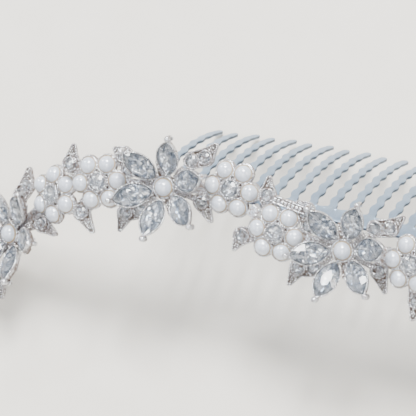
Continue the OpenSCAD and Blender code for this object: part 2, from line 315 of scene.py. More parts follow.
def skin(rings: Array, looped: bool = False) -> Shell:
    """Covers a stack of closed rings of points.

    Face (i, j) joins ring i to ring i + 1 between places j and j + 1, and j wraps round. Each
    end is closed to the middle of its ring, or the last ring joins the first.

    Args:
        rings: Positions, as ring by place by 3, each ring anticlockwise seen from the next one.
        looped: Whether the last ring joins the first, with no ends.

    Returns:
        The closed surface.
    """
    count, sides = rings.shape[:2]
    here = np.arange(count if looped else count - 1)[:, None] * sides
    above = (here + sides) % (count * sides)
    j = np.arange(sides)
    k = (j + 1) % sides
    walls = np.stack([here + j, here + k, above + k, above + j], axis=-1).reshape(-1, 4)
    points = rings.reshape(-1, 3)
    if looped:
        return Shell.of(points, walls)
    first = len(points)
    last = first - sides
    none = np.full(sides, -1)
    lids = [
        np.stack([np.full(sides, first), k, j, none], axis=-1),
        np.stack([np.full(sides, first + 1), last + j, last + k, none], axis=-1),
    ]
    tips = [rings[0].mean(axis=0), rings[-1].mean(axis=0)]
    return Shell.of(np.concatenate([points, tips]), np.concatenate([walls, *lids]))


def stacked(levels: Sequence[tuple[Array, float | Array]], looped: bool = False) -> Shell:
    """Covers a stack of flat outlines.

    Args:
        levels: The points of each outline and its height, from the back up.
        looped: Whether the last outline joins the first.

    Returns:
        The closed surface.
    """
    return skin(np.array([lifted(flat, height) for flat, height in levels]), looped)


def lathed(profile: Profile, sides: int, looped: bool = False) -> Shell:
    """Turns a profile about Z, as on a lathe: (r cos a, r sin a, z) for each of its points.

    Args:
        profile: Radius and height of each point, with the metal on the left of its way up.
        sides: Steps round the axis.
        looped: Whether the profile closes on itself, as a ring's does.

    Returns:
        The closed surface.
    """
    return stacked([(polar(r, angles_round(sides)), z) for r, z in profile], looped)


def balls(centres: Array, radii: float | Array, sides: int = 8, sunk: float = GRAIN_SUNK) -> Shell:
    """Small balls: one ball of latitude rings, scaled and moved to every centre at once.

    Args:
        centres: Middle of each ball.
        radii: Radius of each, or of all.
        sides: Steps round each ball.
        sunk: How deep its waist lies. Its top is open, and its foot is twice as deep, so that shade is
            painted under the ball.

    Returns:
        All the balls.
    """
    centres = np.asarray(centres, float)
    radii = np.broadcast_to(np.asarray(radii, float), (len(centres),))
    latitude = np.radians(np.linspace(-90.0, 90.0, sides // 2 + 2)[1:-1])
    ball = lathed(list(zip(np.cos(latitude), np.sin(latitude))), sides)
    shape = ball.points.copy()
    shape[-2:] = ((0.0, 0.0, -1.0), (0.0, 0.0, 1.0))
    points = centres[:, None] + radii[:, None, None] * shape
    steps = np.arange(len(centres))[:, None, None] * len(shape)
    faces = np.where(ball.faces < 0, -1, ball.faces + steps)
    hollow = np.tile(np.clip(sunk * (1 - shape[:, 2]), 0.0, 1.0), len(centres))
    return replace(Shell.of(points.reshape(-1, 3), faces.reshape(-1, 4)), hollow=hollow)


def bead_ring(
    radius: float | Array,
    degrees: Array,
    height: float | Array,
    size: float,
    sunk: float = GRAIN_SUNK,
    core: Sequence[float] = (0.0, 0.0),
) -> Shell:
    """Balls of beaded metal at angles round a point.

    Args:
        radius: Distance of the balls from the point.
        degrees: Their angles.
        height: Their height.
        size: Their own radius.
        sunk: How deep their waists lie.
        core: The point.

    Returns:
        The balls.
    """
    return balls(lifted(core + polar(radius, degrees), height), size, sunk=sunk).second()


def block(low: Sequence[float], high: Sequence[float], edge: float = 0.12, steps: int = 3) -> Shell:
    """A box with rounded edges and corners.

    Each ring is a rectangle with quarter-circle corners, and the rings draw in at the bottom
    and the top along a quarter circle of the same radius.

    Args:
        low: Lowest corner.
        high: Highest corner.
        edge: Radius of the edges.
        steps: Steps round a quarter circle.

    Returns:
        The closed surface.
    """
    low = np.array(low, float)
    high = np.array(high, float)
    middle = (low + high) / 2
    half = (high - low) / 2 - edge
    quarter = np.linspace(0.0, 90.0, steps + 1)
    corners = np.repeat([[1, 1], [-1, 1], [-1, -1], [1, -1]], steps + 1, axis=0)
    angles = np.concatenate([quarter + turn for turn in (0, 90, 180, 270)])
    lift = np.concatenate([quarter - 90, quarter])
    grow = edge * np.cos(np.radians(lift))
    height = edge * np.sin(np.radians(lift)) + np.where(lift < 0, -half[2], half[2])
    height[steps] = -half[2]
    flat = corners * half[:2] + grow[:, None, None] * polar(1.0, angles)
    rings = np.concatenate([flat, np.broadcast_to(height[:, None, None], flat.shape[:2] + (1,))], axis=-1)
    return skin(rings + middle)


def tube(path: Array, radii: Array, side: Point, sides: int = 8) -> Shell:
    """A round bar along a path that bends in one plane.

    At each point the ring is path + r (cos a across + sin a side), where across is square to
    both the path and the plane's own direction.

    Args:
        path: Points along the middle.
        radii: Radius at each point.
        side: Direction square to the plane that the path bends in.
        sides: Steps round the bar.

    Returns:
        The closed surface.
    """
    along = np.gradient(path, axis=0)
    along /= np.linalg.norm(along, axis=1, keepdims=True)
    across = np.cross(side, along)
    a = np.radians(angles_round(sides))[None, :, None]
    ring = np.cos(a) * across[:, None] + np.sin(a) * np.array(side)
    rings = path[:, None] + radii[:, None, None] * ring
    if np.dot(np.cross(across[0], side), along[0]) < 0:
        rings = rings[:, ::-1]
    return skin(rings)


@dataclass(frozen=True)
class Marquise:
    """Flat outline of a marquise stone: two equal arcs that meet in a tip at each end.

    Attributes:
        length: From tip to tip.
        width: Across the middle.
    """

    length: float = 8.0
    width: float = 4.2

    def ring(self, grow: float, count: int) -> Array:
        """Points round the outline, moved out square to the arcs.

        Each arc's radius is (l squared + w squared) / 4w plus grow, and its centre lies on the
        far side by that radius less half the width.

        Args:
            grow: How far the outline is moved out, less than nothing for inwards.
            count: Number of points, the first at the tip on +X.

        Returns:
            The points, anticlockwise, as count by 2.
        """
        arc = (self.length**2 + self.width**2) / 4 / self.width
        off = arc - self.width / 2
        half = math.acos(off / (arc + grow))
        swing = half * (1 - 4 * np.arange(count // 2) / count)
        up = polar(arc + grow, np.degrees(math.pi / 2 - swing)) - (0, off)
        return np.concatenate([up, -up])


@dataclass(frozen=True)
class GemCut:
    """Facets of a foil-backed stone, as shares of its outline and its heights in millimetres.

    The crown has a table, eight stars, eight kites and sixteen girdle facets, and the back
    has eight long facets and sixteen short ones that meet in a point.

    Attributes:
        crown: Height of the table above the girdle.
        back: Depth of the point under the girdle.
        girdle: Height of the girdle.
        table: Share of the outline that the table takes.
        shoulder: Share where the kites' outer corners lie.
        belly: Share where the corners of the back's facets lie.
        stars: Number of stars round the table.
    """

    crown: float
    back: float
    girdle: float = 0.1
    table: float = 0.52
    shoulder: float = 0.78
    belly: float = 0.6
    stars: int = 8

    def shell(self, outline: Array) -> Shell:
        """Cuts a stone with a sixteen-point outline.

        The kite's outer corner height keeps the kite flat on a round stone: crown times
        (1 - shoulder cos 22.5) / (1 - table).

        Args:
            outline: Flat points round the girdle, sixteen by 2.

        Returns:
            The stone, its girdle's lower edge at height 0, with its foil as second finish.
        """
        n = self.stars
        bow = math.cos(math.pi / n)
        rise = self.crown * (1 - self.shoulder * bow) / (1 - self.table)
        drop = self.back * (1 - self.belly * bow)
        top = self.girdle + self.crown
        odd = outline[1::2]
        points = np.concatenate([
            lifted(outline[0::2] * self.table, top),
            lifted(odd * self.shoulder, self.girdle + rise),
            lifted(outline, self.girdle),
            lifted(outline, 0.0),
            lifted(odd * self.belly, -drop),
            [[0.0, 0.0, top], [0.0, 0.0, -self.back]],
        ])
        table, shoulder, upper, lower, belly, middle = n * np.array([0, 1, 2, 4, 6, 7])
        culet = middle + 1
        i = np.arange(n)
        j = (i + 1) % n
        h = (i - 1) % n
        front = (
            (middle, table + i, table + j),
            (table + i, shoulder + i, table + j),
            (table + i, shoulder + h, upper + 2 * i),
            (table + i, upper + 2 * i, shoulder + i),
            (shoulder + i, upper + 2 * i, upper + 2 * i + 1),
            (shoulder + i, upper + 2 * i + 1, upper + 2 * j),
        )
        rear = (
            (belly + i, lower + 2 * i + 1, lower + 2 * i),
            (belly + i, lower + 2 * j, lower + 2 * i + 1),
            (culet, belly + i, lower + 2 * i),
            (culet, lower + 2 * i, belly + h),
        )
        crown, foil = (
            np.concatenate([np.stack(np.broadcast_arrays(*facet, -1), axis=-1) for facet in facets])
            for facets in (front, rear)
        )
        k = np.arange(2 * n)
        m = (k + 1) % (2 * n)
        band = np.stack([lower + k, lower + m, upper + m, upper + k], axis=-1)
        faces = np.concatenate([crown, band, foil])
        finish = np.repeat([Face.MAIN.value, Face.SECOND.value], [len(crown) + len(band), len(foil)])
        return replace(Shell.of(points, faces), finish=finish, smooth=np.zeros(len(faces), bool))


@dataclass(frozen=True)
class Rest:
    """How the comb's own frame lies on the surface, touching with two rosettes and two teeth.

    Attributes:
        tilt: How far it leans back, which is where the solid model comes to rest.
        middle_y: Depth of the piece's middle.
        lift: Height of the comb's own origin above the surface.
    """

    tilt: float = 34.374
    middle_y: float = 9.767
    lift: float = 32.379

    def matrix(self) -> Array:
        """From the comb's own frame to the piece at rest."""
        return moved(0, -self.middle_y, self.lift) @ turned(Axis.X, -self.tilt)


@dataclass(frozen=True)
class UnitPlace:
    """Where one flower unit is on the curve round the head, and what is special to it.

    Attributes:
        name: Its name in the solid model.
        x: Distance from the middle.
        z: Height above the middle unit.
        yaw: Turn outwards, seen from above.
        turn: Turn in its own face.
        right: Whether it is a right-hand unit, the mirror of a left-hand one.
        pearl_turns: Angle of the first pearl of the outer and of the inner rosette.
        links: Link leaves, each with the side of its rosette, -1 for the outer one, the radius
            in rosette radii and the angle of its stone, and the same of its point.
        middle: Whether it is the middle unit, which has the rail and carries the comb.
        face_lean: Lean of the flowers' faces in the comb's frame.
        face_h: How far the unit's back lies behind the curve.
    """

    name: str
    x: float
    z: float
    yaw: float
    turn: float
    right: bool
    pearl_turns: tuple[float, float]
    links: tuple[tuple[int, float, float, float, float], ...] = ()
    middle: bool = False
    face_lean: float = 23.0
    face_h: float = 2.5

    def matrix(self) -> Array:
        """From the unit's own face, X to the middle and Z to the viewer, to the comb's frame.

        Returns:
            A 4 by 4 matrix.
        """
        side = mirrored(Axis.X) if self.right else np.eye(4)
        depth = WRAP_R - math.sqrt(WRAP_R**2 - self.x**2)
        place = moved(-self.x, depth, self.z)
        facing = turned(Axis.Z, -self.yaw) @ turned(Axis.X, 90) @ turned(Axis.Z, self.turn)
        return side @ turned(Axis.X, -self.face_lean) @ place @ facing @ moved(0, 0, -self.face_h)


# Link leaves of a side unit and of the middle one, as UnitPlace lists them.
SIDE_LINKS = ((-1, 1.18, 153, 1.5, 130), (-1, 1.22, 238, 1.68, 262))
MIDDLE_LINKS = (
    (-1, 1.24, 116, 1.8, 109),
    (-1, 1.2, 198, 1.56, 213),
    (1, 1.24, 288, 1.8, 281),
    (1, 1.2, 342, 1.56, 327),
)
UNITS = (
    UnitPlace("left_end", 70.9, -13.6, 26, 46, False, (57, 57)),
    UnitPlace("left", 38.6, 3.6, 4, 10, False, (6, 51), SIDE_LINKS),
    UnitPlace("centre", 0, 0, 0, 0, False, (58, 58), MIDDLE_LINKS, middle=True),
    UnitPlace("right", 38.6, 3.6, 4, 10, True, (6, 51), SIDE_LINKS),
    UnitPlace("right_end", 70.9, -13.6, 26, 46, True, (57, 57)),
)
# Leaves between the petals: point, then stones inwards, as shares of the reach and angles.
LEAVES = (
    ((0.97, 40), (0.735, 37), (0.545, 46)),
    ((0.93, 147), (0.765, 147), (0.6, 158)),
    ((0.935, 223), (0.715, 213), (0.51, 222)),
    ((0.82, 327), (0.575, 342)),
)


@dataclass(frozen=True)
class FlowerPlan:
    """The sizes that every cast flower unit shares, and the small frames on its face.

    The sizes that follow from the others are rounded to a thousandth.

    Attributes:
        stone: Outline of a petal's stone.
        fit_gap: Room round the stone in its cup.
        cup_wall: Wall of the cup.
        petal_count: Number of petals.
        petal_tilt: How steeply the petals rise.
        petal_turn: Angle of the first petal.
        petal_sink: How far a petal's inner tip is sunk in the middle.
        cup_h: Height of a petal's cup from its back to the stone's girdle.
        hub_r: Radius of the centre pearl's cup.
        plate_h: Height of the bars and discs.
        rosette_room: From a petal's outer tip to a rosette's middle.
        side_lift: How far the rosettes' middles are above the flower's.
        pearl_count: Pearls in a rosette.
        ring_r: Radius that the pearls' middles lie on.
        rosette_r: Radius of a rosette over its pearl cups.
        pearl_lean: How far the pearls lean outwards.
        rim_z: Height of a pearl's rim at its middle.
        seat: Depth of a pearl in its cup.
        stone_cup_h: Height of the round stone's girdle.
        leaf_stone_r: Radius of a leaf stone.
        leaf_h: Height of a leaf's border.
        bar_w: Width of the bars.
    """

    stone: Marquise = Marquise()
    fit_gap: float = 0.1
    cup_wall: float = 0.45
    petal_count: int = 6
    petal_tilt: float = 32.0
    petal_turn: float = 16.0
    petal_sink: float = 0.3
    cup_h: float = 1.5
    hub_r: float = 2.3
    plate_h: float = 1.0
    rosette_room: float = 3.94
    side_lift: float = 0.4
    pearl_count: int = 6
    ring_r: float = 3.85
    rosette_r: float = 5.9
    pearl_lean: float = 16.0
    rim_z: float = 1.3
    seat: float = 0.5
    stone_cup_h: float = 2.3
    leaf_stone_r: float = 1.2
    leaf_h: float = 0.9
    bar_w: float = 2.2

    @property
    def cup_half(self) -> float:
        """Half the length of a petal's cup, out to the tip of its wall."""
        return float(self.stone.ring(self.fit_gap + self.cup_wall, 4)[0, 0])

    @property
    def petal_half(self) -> float:
        """The same as seen from in front, with the petal tilted."""
        return self.cup_half * math.cos(math.radians(self.petal_tilt))

    @property
    def petal_r(self) -> float:
        """Distance of a petal's middle from the flower's."""
        return round(self.hub_r + self.petal_half - self.petal_sink, 3)

    @property
    def petal_z(self) -> float:
        """Height of the girdle at a petal's middle."""
        a = math.radians(self.petal_tilt)
        girdle = self.cup_half * math.sin(a) + self.cup_h * math.cos(a)
        return round(girdle + self.petal_sink, 3)

    @property
    def reach(self) -> float:
        """Distance of a rosette's middle from the flower's."""
        return round(self.petal_r + self.petal_half + self.rosette_room, 3)

    def petal(self, k: float) -> Array:
        """Frame of a petal's girdle, X outwards along it."""
        out = moved(self.petal_r, 0, self.petal_z) @ turned(Axis.Y, -self.petal_tilt)
        return self.sector(k) @ out

    def sector(self, k: float) -> Array:
        """Frame with X along petal k, or between two petals for a half."""
        return turned(Axis.Z, 360 / self.petal_count * k + self.petal_turn)

    def rosette(self, side: int) -> Array:
        """Frame of the outer rosette for 0, and of the inner one for 1."""
        return moved((2 * side - 1) * self.reach, self.side_lift, 0)

    def ring_pearls(self, turn: float) -> list[Array]:
        """Frame of each pearl's rim in a rosette, leaning outwards."""
        lean = moved(self.ring_r, 0, self.rim_z) @ turned(Axis.Y, self.pearl_lean)
        return [turned(Axis.Z, a) @ lean for a in angles_round(self.pearl_count, turn)]

    def slope(self, radius: float | Array) -> float | Array:
        """Height of a rosette's sloping face at a radius."""
        return self.rim_z - (radius - self.ring_r) * math.tan(math.radians(self.pearl_lean))

    def leaves(self) -> list[Array]:
        """Point, then the stones from the outer one inwards, of each leaf between the petals."""
        return [polar(np.array(row)[:, 0] * self.reach, np.array(row)[:, 1]) for row in LEAVES]

    def links(self, unit: UnitPlace) -> list[tuple[Array, Array, Array]]:
        """Rosette middle, stone and point of each link leaf of a unit.

        Args:
            unit: The unit.

        Returns:
            The three flat points of each.
        """
        found = []
        for side, stone_r, stone_a, tip_r, tip_a in unit.links:
            middle = np.array([side * self.reach, self.side_lift])
            stone = middle + polar(stone_r * self.rosette_r, stone_a)
            tip = middle + polar(tip_r * self.rosette_r, tip_a)
            found.append((middle, stone, tip))
        return found

    def leaf_stones(self, unit: UnitPlace) -> Array:
        """Middles of all the leaf stones of a unit, on its face.

        Args:
            unit: The unit.

        Returns:
            The middles, a row each.
        """
        leaves = [row[1:] for row in self.leaves()]
        links = [stone[None] for _, stone, _ in self.links(unit)]
        return np.concatenate(leaves + links)


PLAN = FlowerPlan()


@dataclass(frozen=True)
class Leaf:
    """A beaded leaf: a chain of circles from its root, past its stones, to its point.

    Attributes:
        nodes: Middle and radius of each circle that the chain is drawn through.
        stones: Middles of the stones set in it.
        core: The point that the outline is drawn round.
        seed: Start of the random numbers that jitter its grains.
        floor_h: Height of the floor that the grains stand on.
        crest: How far inside the outline its border is highest.
        bead_r: Radius of a bead on the border.
        bead_pitch: Distance from one bead to the next.
        grain_pitch: Distance from one grain to the next.
        row_share: Distance between the rows of a honeycomb, as a share of its pitch.
        grain_room: Room left bare inside the outline, and round each stone's middle.
        grain_r: Smallest and largest radius of a grain.
        grain_h: Lowest and highest a grain's middle is above the floor.
        jitter: How far a grain is off the honeycomb, at most.
        claw_r: Radius of a small claw at a stone.
        claws: Small claws round a stone.
        claw_h: Height of their middles.
    """

    nodes: Array
    stones: Array
    core: Array
    seed: int
    floor_h: float = 0.56
    crest: float = 0.17
    bead_r: float = 0.2
    bead_pitch: float = 0.42
    grain_pitch: float = 0.5
    row_share: float = 0.866
    grain_room: tuple[float, float] = (0.5, 1.66)
    grain_r: tuple[float, float] = (0.2, 0.28)
    grain_h: tuple[float, float] = (0.1, 0.22)
    jitter: float = 0.07
    claw_r: float = 0.19
    claws: int = 6
    claw_h: float = 1.12

    def radius(self, degrees: Array) -> Array:
        """How far the outline is from the core in each direction.

        The outline is the farthest point of the chain of circles along each ray: for a circle
        of radius r whose middle is m from the core, m . d + sqrt(r squared - |m x d| squared).

        Args:
            degrees: Directions.

        Returns:
            The distances.
        """
        share = np.linspace(0, len(self.nodes) - 1, 20 * len(self.nodes))
        x, y, r = (np.interp(share, np.arange(len(self.nodes)), column) for column in self.nodes.T)
        m = np.stack([x, y], axis=-1) - self.core
        d = polar(1.0, degrees)
        ahead = d @ m.T
        aside = d[:, :1] * m[:, 1] - d[:, 1:] * m[:, 0]
        inside = np.clip(r**2 - aside**2, 0, None)
        reach = np.where(np.abs(aside) < r, ahead + np.sqrt(inside), 0.0)
        return reach.max(axis=1)

    def plate(self) -> Shell:
        """Dished plate with a raised border, each ring the outline drawn in or shrunk.

        A row of the section is the share of the outline's radius, how far the ring is then
        drawn in, its height and how deep it lies.

        Returns:
            The closed plate, its back at height 0.
        """
        a = angles_round(72)
        r = self.radius(a)
        top = PLAN.leaf_h
        floor = self.floor_h
        section = (
            (0.3, 0.0, 0.0, 0.0),
            (1.0, 0.15, 0.0, 0.0),
            (1.0, 0.0, 0.15, 0.3),
            (1.0, 0.0, top - 0.15, 0.1),
            (1.0, 0.06, top - 0.04, 0.0),
            (1.0, 0.15, top, 0.0),
            (1.0, 0.3, top - 0.03, 0.1),
            (1.0, 0.38, floor + 0.1, 0.7),
            (1.0, 0.46, floor, 0.85),
            (0.3, 0.0, floor, 0.85),
        )
        levels = [(self.core + polar(r * share - inset, a), z) for share, inset, z, _ in section]
        return stacked(levels).shaded_by_ring([row[3] for row in section])

    def border(self) -> Shell:
        """Milgrain: beads spaced evenly along the border's crest.

        Returns:
            The beads.
        """
        a = np.linspace(0, 360, 721)
        line = self.core + polar(self.radius(a) - self.crest, a)
        run = np.concatenate([[0], np.cumsum(np.linalg.norm(np.diff(line, axis=0), axis=1))])
        count = int(run[-1] / self.bead_pitch)
        at = np.arange(count) * run[-1] / count
        flat = np.stack([np.interp(at, run, column) for column in line.T], axis=-1)
        return balls(lifted(flat, PLAN.leaf_h + 0.04), self.bead_r).second()

    def grains(self) -> Shell:
        """Raised grains that fill the dish round the stones, on a jittered honeycomb.

        Returns:
            The grains.
        """
        random = np.random.default_rng(self.seed)
        edge_room, stone_room = self.grain_room
        span = np.abs(self.nodes[:, :2] - self.core).max() + 2.5
        step = self.grain_pitch
        row = step * self.row_share
        u, v = np.meshgrid(np.arange(-span, span, step), np.arange(-span, span, row))
        u = u + (np.round(v / row) % 2) * step / 2
        flat = np.stack([u.ravel(), v.ravel()], axis=-1)
        flat = flat + random.uniform(-self.jitter, self.jitter, flat.shape)
        angle = np.degrees(np.arctan2(flat[:, 1], flat[:, 0]))
        room = self.radius(angle) - edge_room - np.linalg.norm(flat, axis=1)
        flat = flat + self.core
        clear = np.linalg.norm(flat[:, None] - self.stones[None], axis=-1).min(axis=1) > stone_room
        flat = flat[(room > 0) & clear]
        size = random.uniform(*self.grain_r, len(flat))
        height = self.floor_h + random.uniform(*self.grain_h, len(flat))
        return balls(lifted(flat, height), size).second()

    def shell(self) -> Shell:
        """The leaf with its milgrain, its grains, and a thin collet with claws round each stone.

        Returns:
            The leaf on the unit's face.
        """
        r = PLAN.leaf_stone_r
        ring = (
            (r + 0.05, 0.45),
            (r + 0.34, 0.45),
            (r + 0.34, 0.95),
            (r + 0.28, 1.08),
            (r + 0.16, 1.12),
            (r + 0.05, 1.06),
            (r + 0.03, 0.9),
        )
        # Deep up to near its crest, so that a dark ring of painted shade and residue shows round each
        # stone.
        collet = lathed(ring, 28, looped=True).shaded_by_height(0.85, 1.14)
        tips = angles_round(self.claws, 20)
        parts = [self.plate(), self.border(), self.grains()]
        for stone in self.stones:
            parts.append(collet.carried(moved(*stone, 0)))
            parts.append(bead_ring(r + 0.06, tips, self.claw_h, self.claw_r, CLAW_SUNK, stone))
        return Shell.joined(parts)


@dataclass(frozen=True)
class PetalCup:
    """Cup of one marquise stone with its ball prong and rib, in the petal's own frame.

    Attributes:
        stone: Outline of the stone.
        steps: Points round the cup.
        claw_steps: Places for small claws round the stone.
        claw_r: Radius of a small claw.
        claw_out: How far outside the stone they stand.
        claw_reach: How near to the tips they go, from the middle.
        prong_x: Where the ball is along the petal.
        prong_r: Radius of the ball.
        rib_half: Half the width of the rib under the cup.
    """

    stone: Marquise = Marquise()
    steps: int = 56
    claw_steps: int = 44
    claw_r: float = 0.13
    claw_out: float = 0.2
    claw_reach: float = 3.9
    prong_x: float = 4.85
    prong_r: float = 0.65
    rib_half: float = 0.6

    def cup(self) -> Shell:
        """The cup: a profile of (how far outside the stone, height) carried round the stone.

        Returns:
            The closed cup.
        """
        top = PLAN.cup_h
        profile = (
            (-1.9, -top),
            (-0.7, -top),
            (-0.45, -top + 0.12),
            (-0.1, -1.05),
            (0.16, -0.6),
            (0.28, -0.2),
            (0.33, 0.0),
            (0.28, 0.1),
            (0.19, 0.14),
            (0.12, 0.1),
            (0.08, -0.05),
            (-0.5, -0.5),
            (-1.9, -1.15),
        )
        levels = [(self.stone.ring(grow, self.steps), z) for grow, z in profile]
        return stacked(levels).shaded_by_height(-1.3, -0.3)

    def prong(self) -> Shell:
        """Ball on a bent post at the petal's outer tip.

        Returns:
            The ball and its post.
        """
        ball = balls([(self.prong_x, 0.0, 0.0)], self.prong_r, 20, 0.0)
        stem = np.array([(4.84, 0, -0.1), (4.82, 0, -0.6), (4.7, 0, -1.0), (4.4, 0, -1.35), (3.9, 0, -1.6)])
        post = tube(stem, np.array([0.42, 0.36, 0.38, 0.45, 0.5]), (0, 1, 0), 12)
        return Shell.joined([ball, post])

    def shell(self) -> Shell:
        """The cup with its small claws, prong and rib.

        Returns:
            The petal's metal.
        """
        claws = self.stone.ring(self.claw_out, self.claw_steps)
        claws = claws[np.abs(claws[:, 0]) < self.claw_reach]
        small = balls(lifted(claws, 0.12), self.claw_r, 6, CLAW_SUNK).second()
        low = (-4.6, -self.rib_half, -PLAN.cup_h - 0.8)
        high = (0.95, self.rib_half, -PLAN.cup_h + 0.3)
        return Shell.joined([self.cup(), small, self.prong(), block(low, high)])


@dataclass(frozen=True)
class FlowerHub:
    """Cup of the centre pearl, and the grains and small balls between the petals.

    Attributes:
        bead_ring_r: Radius that the small balls stand on.
        bead_r: Radius of a small ball.
        bead_spread: Half the angle between the two balls of a pair.
        web: Where a web's grains start and end, from the middle.
        web_half: Half the width of a web where it is widest.
        web_root: Where a web would narrow to nothing.
        web_h: Height of a web, carried on to the middle.
        web_drop: How much its height falls in a millimetre.
        grain_r: Radius of a grain.
        grain_pitch: Distance from one grain to the next.
        jitter: How far a grain is off its row, and off its height, at most.
        seed: Start of the random numbers that jitter the grains.
        floored: The two webs that stand on a floor of metal.
    """

    bead_ring_r: float = 2.62
    bead_r: float = 0.26
    bead_spread: float = 11.0
    web: tuple[float, float] = (3.0, 5.7)
    web_half: float = 0.45
    web_root: float = 2.6
    web_h: float = 1.5
    web_drop: float = 0.08
    grain_r: float = 0.27
    grain_pitch: float = 0.46
    jitter: tuple[float, float] = (0.08, 0.1)
    seed: int = 11
    floored: tuple[int, ...] = (1, 4)

    def cup(self) -> Shell:
        """The pearl's cup, with two small balls between each two petals' inner tips.

        Returns:
            The cup and its balls.
        """
        r = PLAN.hub_r
        half = PLAN.petal_z / 2
        profile = (
            (0.05, 0.0),
            (r - 0.12, 0.0),
            (r, 0.12),
            (r, half - 0.15),
            (r - 0.06, half + 0.02),
            (r - 0.2, half + 0.12),
            (r - 0.33, half + 0.1),
            (1.86, half - 0.05),
            (1.85, half - 0.42),
            (0.05, half - 0.45),
        )
        cup = lathed(profile, 48).shaded_by_height(half * 0.3, half)
        between = angles_round(PLAN.petal_count, PLAN.petal_turn + 30)
        pairs = np.add.outer(between, (-self.bead_spread, self.bead_spread)).ravel()
        return Shell.joined([cup, bead_ring(self.bead_ring_r, pairs, half, self.bead_r)])

    def webs(self) -> Shell:
        """Webs of grains between the petals, three abreast and a little out of line.

        Returns:
            The webs on the unit's face.
        """
        random = np.random.default_rng(self.seed)
        off, lift = self.jitter
        floor = block((2.0, -0.7, 0.1), (5.4, 0.7, 1.3)).shaded_by_height(1.3, 1.5)
        parts = []
        for k in range(PLAN.petal_count):
            frame = PLAN.sector(k + 0.5)
            if k in self.floored:
                parts.append(floor.carried(frame))
            rows = np.arange(*self.web, self.grain_pitch)
            along = np.repeat(rows, 3)
            across = np.tile((-self.web_half, 0.0, self.web_half), len(rows))
            across = across * np.clip(along - self.web_root, 0.4, 1.0)
            along = along + random.uniform(-off, off, len(along))
            height = self.web_h - self.web_drop * along + random.uniform(-lift, lift, len(along))
            grains = balls(np.stack([along, across, height], axis=-1), self.grain_r)
            parts.append(grains.second().carried(frame))
        return Shell.joined(parts)


@dataclass(frozen=True)
class Rosette:
    """Scalloped disc with six pearl cups' thin lips and a round stone's cup, in its own frame.

    Attributes:
        turn: Angle of the first pearl.
        scallop_r: Radius of the disc's scallop round each pearl.
        floor_r: Radius where the sloping face ends beside the stone's cup.
        steps: Points round the disc.
        claws: Claws of the round stone.
        claw_ring_r: Radius that the claws stand on.
        claw_r: Radius of a claw.
        grains: Grains round the stone's cup.
        grain_ring_r: Radius that the grains stand on.
        grain_r: Radius of a grain.
        between: Distances from the middle of the small balls between each two pearls.
        between_size: Radius of such a ball.
    """

    turn: float
    scallop_r: float = 2.05
    floor_r: float = 3.2
    steps: int = 144
    claws: int = 12
    claw_ring_r: float = 1.84
    claw_r: float = 0.27
    grains: int = 24
    grain_ring_r: float = 2.08
    grain_r: float = 0.2
    between: tuple[float, ...] = (2.62, 3.1, 3.85)
    between_size: float = 0.24

    def edge(self, degrees: Array) -> Array:
        """Radius of the scalloped edge.

        It is the farthest of six circles along each ray: with the circle's middle at angle d
        from the ray, R cos d + sqrt(p squared - (R sin d) squared).

        Args:
            degrees: Angles of the rays.

        Returns:
            The radii.
        """
        ring_r = PLAN.ring_r
        d = np.radians(degrees[:, None] - angles_round(PLAN.pearl_count, self.turn))
        root = np.sqrt(np.clip(self.scallop_r**2 - (ring_r * np.sin(d)) ** 2, 0, None))
        reach = np.where((root > 0) & (np.cos(d) > 0), ring_r * np.cos(d) + root, ring_r)
        return reach.max(axis=1)

    def disc(self) -> Shell:
        """The disc, from the middle of its back round its edge to the middle of its face.

        Returns:
            The closed disc.
        """
        a = angles_round(self.steps)
        edge = self.edge(a)
        brim = PLAN.slope(edge)
        rows = (
            (edge * 0.2, 0.0, 0.0),
            (edge - 0.12, 0.0, 0.0),
            (edge, 0.12, 0.5),
            (edge, brim - 0.14, 0.3),
            (edge - 0.05, brim - 0.04, 0.0),
            (edge - 0.14, brim, 0.1),
            (self.floor_r, PLAN.slope(self.floor_r), 1.0),
            (2.1, 1.45, 1.0),
            (0.3, 0.8, 1.0),
        )
        return stacked([(polar(r, a), z) for r, z, _ in rows]).shaded_by_ring([row[2] for row in rows])

    def lips(self) -> Shell:
        """Thin lip round each pearl.

        Returns:
            The six lips.
        """
        profile = (
            (1.74, -0.3),
            (2.0, -0.3),
            (2.02, -0.05),
            (1.99, 0.14),
            (1.92, 0.22),
            (1.82, 0.22),
            (1.76, 0.14),
            (1.74, -0.05),
        )
        return lathed(profile, 40, looped=True).copied(PLAN.ring_pearls(self.turn))

    def stone_cup(self) -> Shell:
        """Cup of the round stone.

        Returns:
            The closed cup.
        """
        top = PLAN.stone_cup_h
        profile = (
            (0.05, 0.7),
            (1.85, 0.7),
            (1.95, 1.0),
            (1.95, top - 0.05),
            (1.91, top + 0.06),
            (1.83, top + 0.12),
            (1.76, top + 0.08),
            (1.73, top - 0.06),
            (1.2, top - 0.5),
            (0.05, top - 1.1),
        )
        return lathed(profile, 40).shaded_by_height(1.3, 2.0)

    def shell(self) -> Shell:
        """The whole rosette, with claws round its stone and small balls between its pearls.

        Returns:
            The rosette's metal.
        """
        top = PLAN.stone_cup_h
        gaps = np.repeat(angles_round(PLAN.pearl_count, self.turn + 30), len(self.between))
        outer = np.tile(self.between, PLAN.pearl_count)
        tips = angles_round(self.claws, self.turn)
        low = angles_round(self.grains, self.turn + 7.5)
        return Shell.joined([
            self.disc(),
            self.lips(),
            self.stone_cup(),
            bead_ring(self.claw_ring_r, tips, top + 0.12, self.claw_r, CLAW_SUNK),
            bead_ring(self.grain_ring_r, low, top - 0.28, self.grain_r),
            bead_ring(outer, gaps, PLAN.slope(outer) + 0.1, self.between_size),
        ])


def bar(start: Array, end: Array, width: float, low: float, high: float) -> Shell:
    """A bar with rounded edges from one point of the face to another.

    Args:
        start: Flat point at its start.
        end: Flat point at its end.
        width: Its width.
        low: Height of its back.
        high: Height of its face.

    Returns:
        The bar.
    """
    length = float(np.linalg.norm(end - start))
    return block((0, -width / 2, low), (length, width / 2, high)).carried(headed(start, end - start))


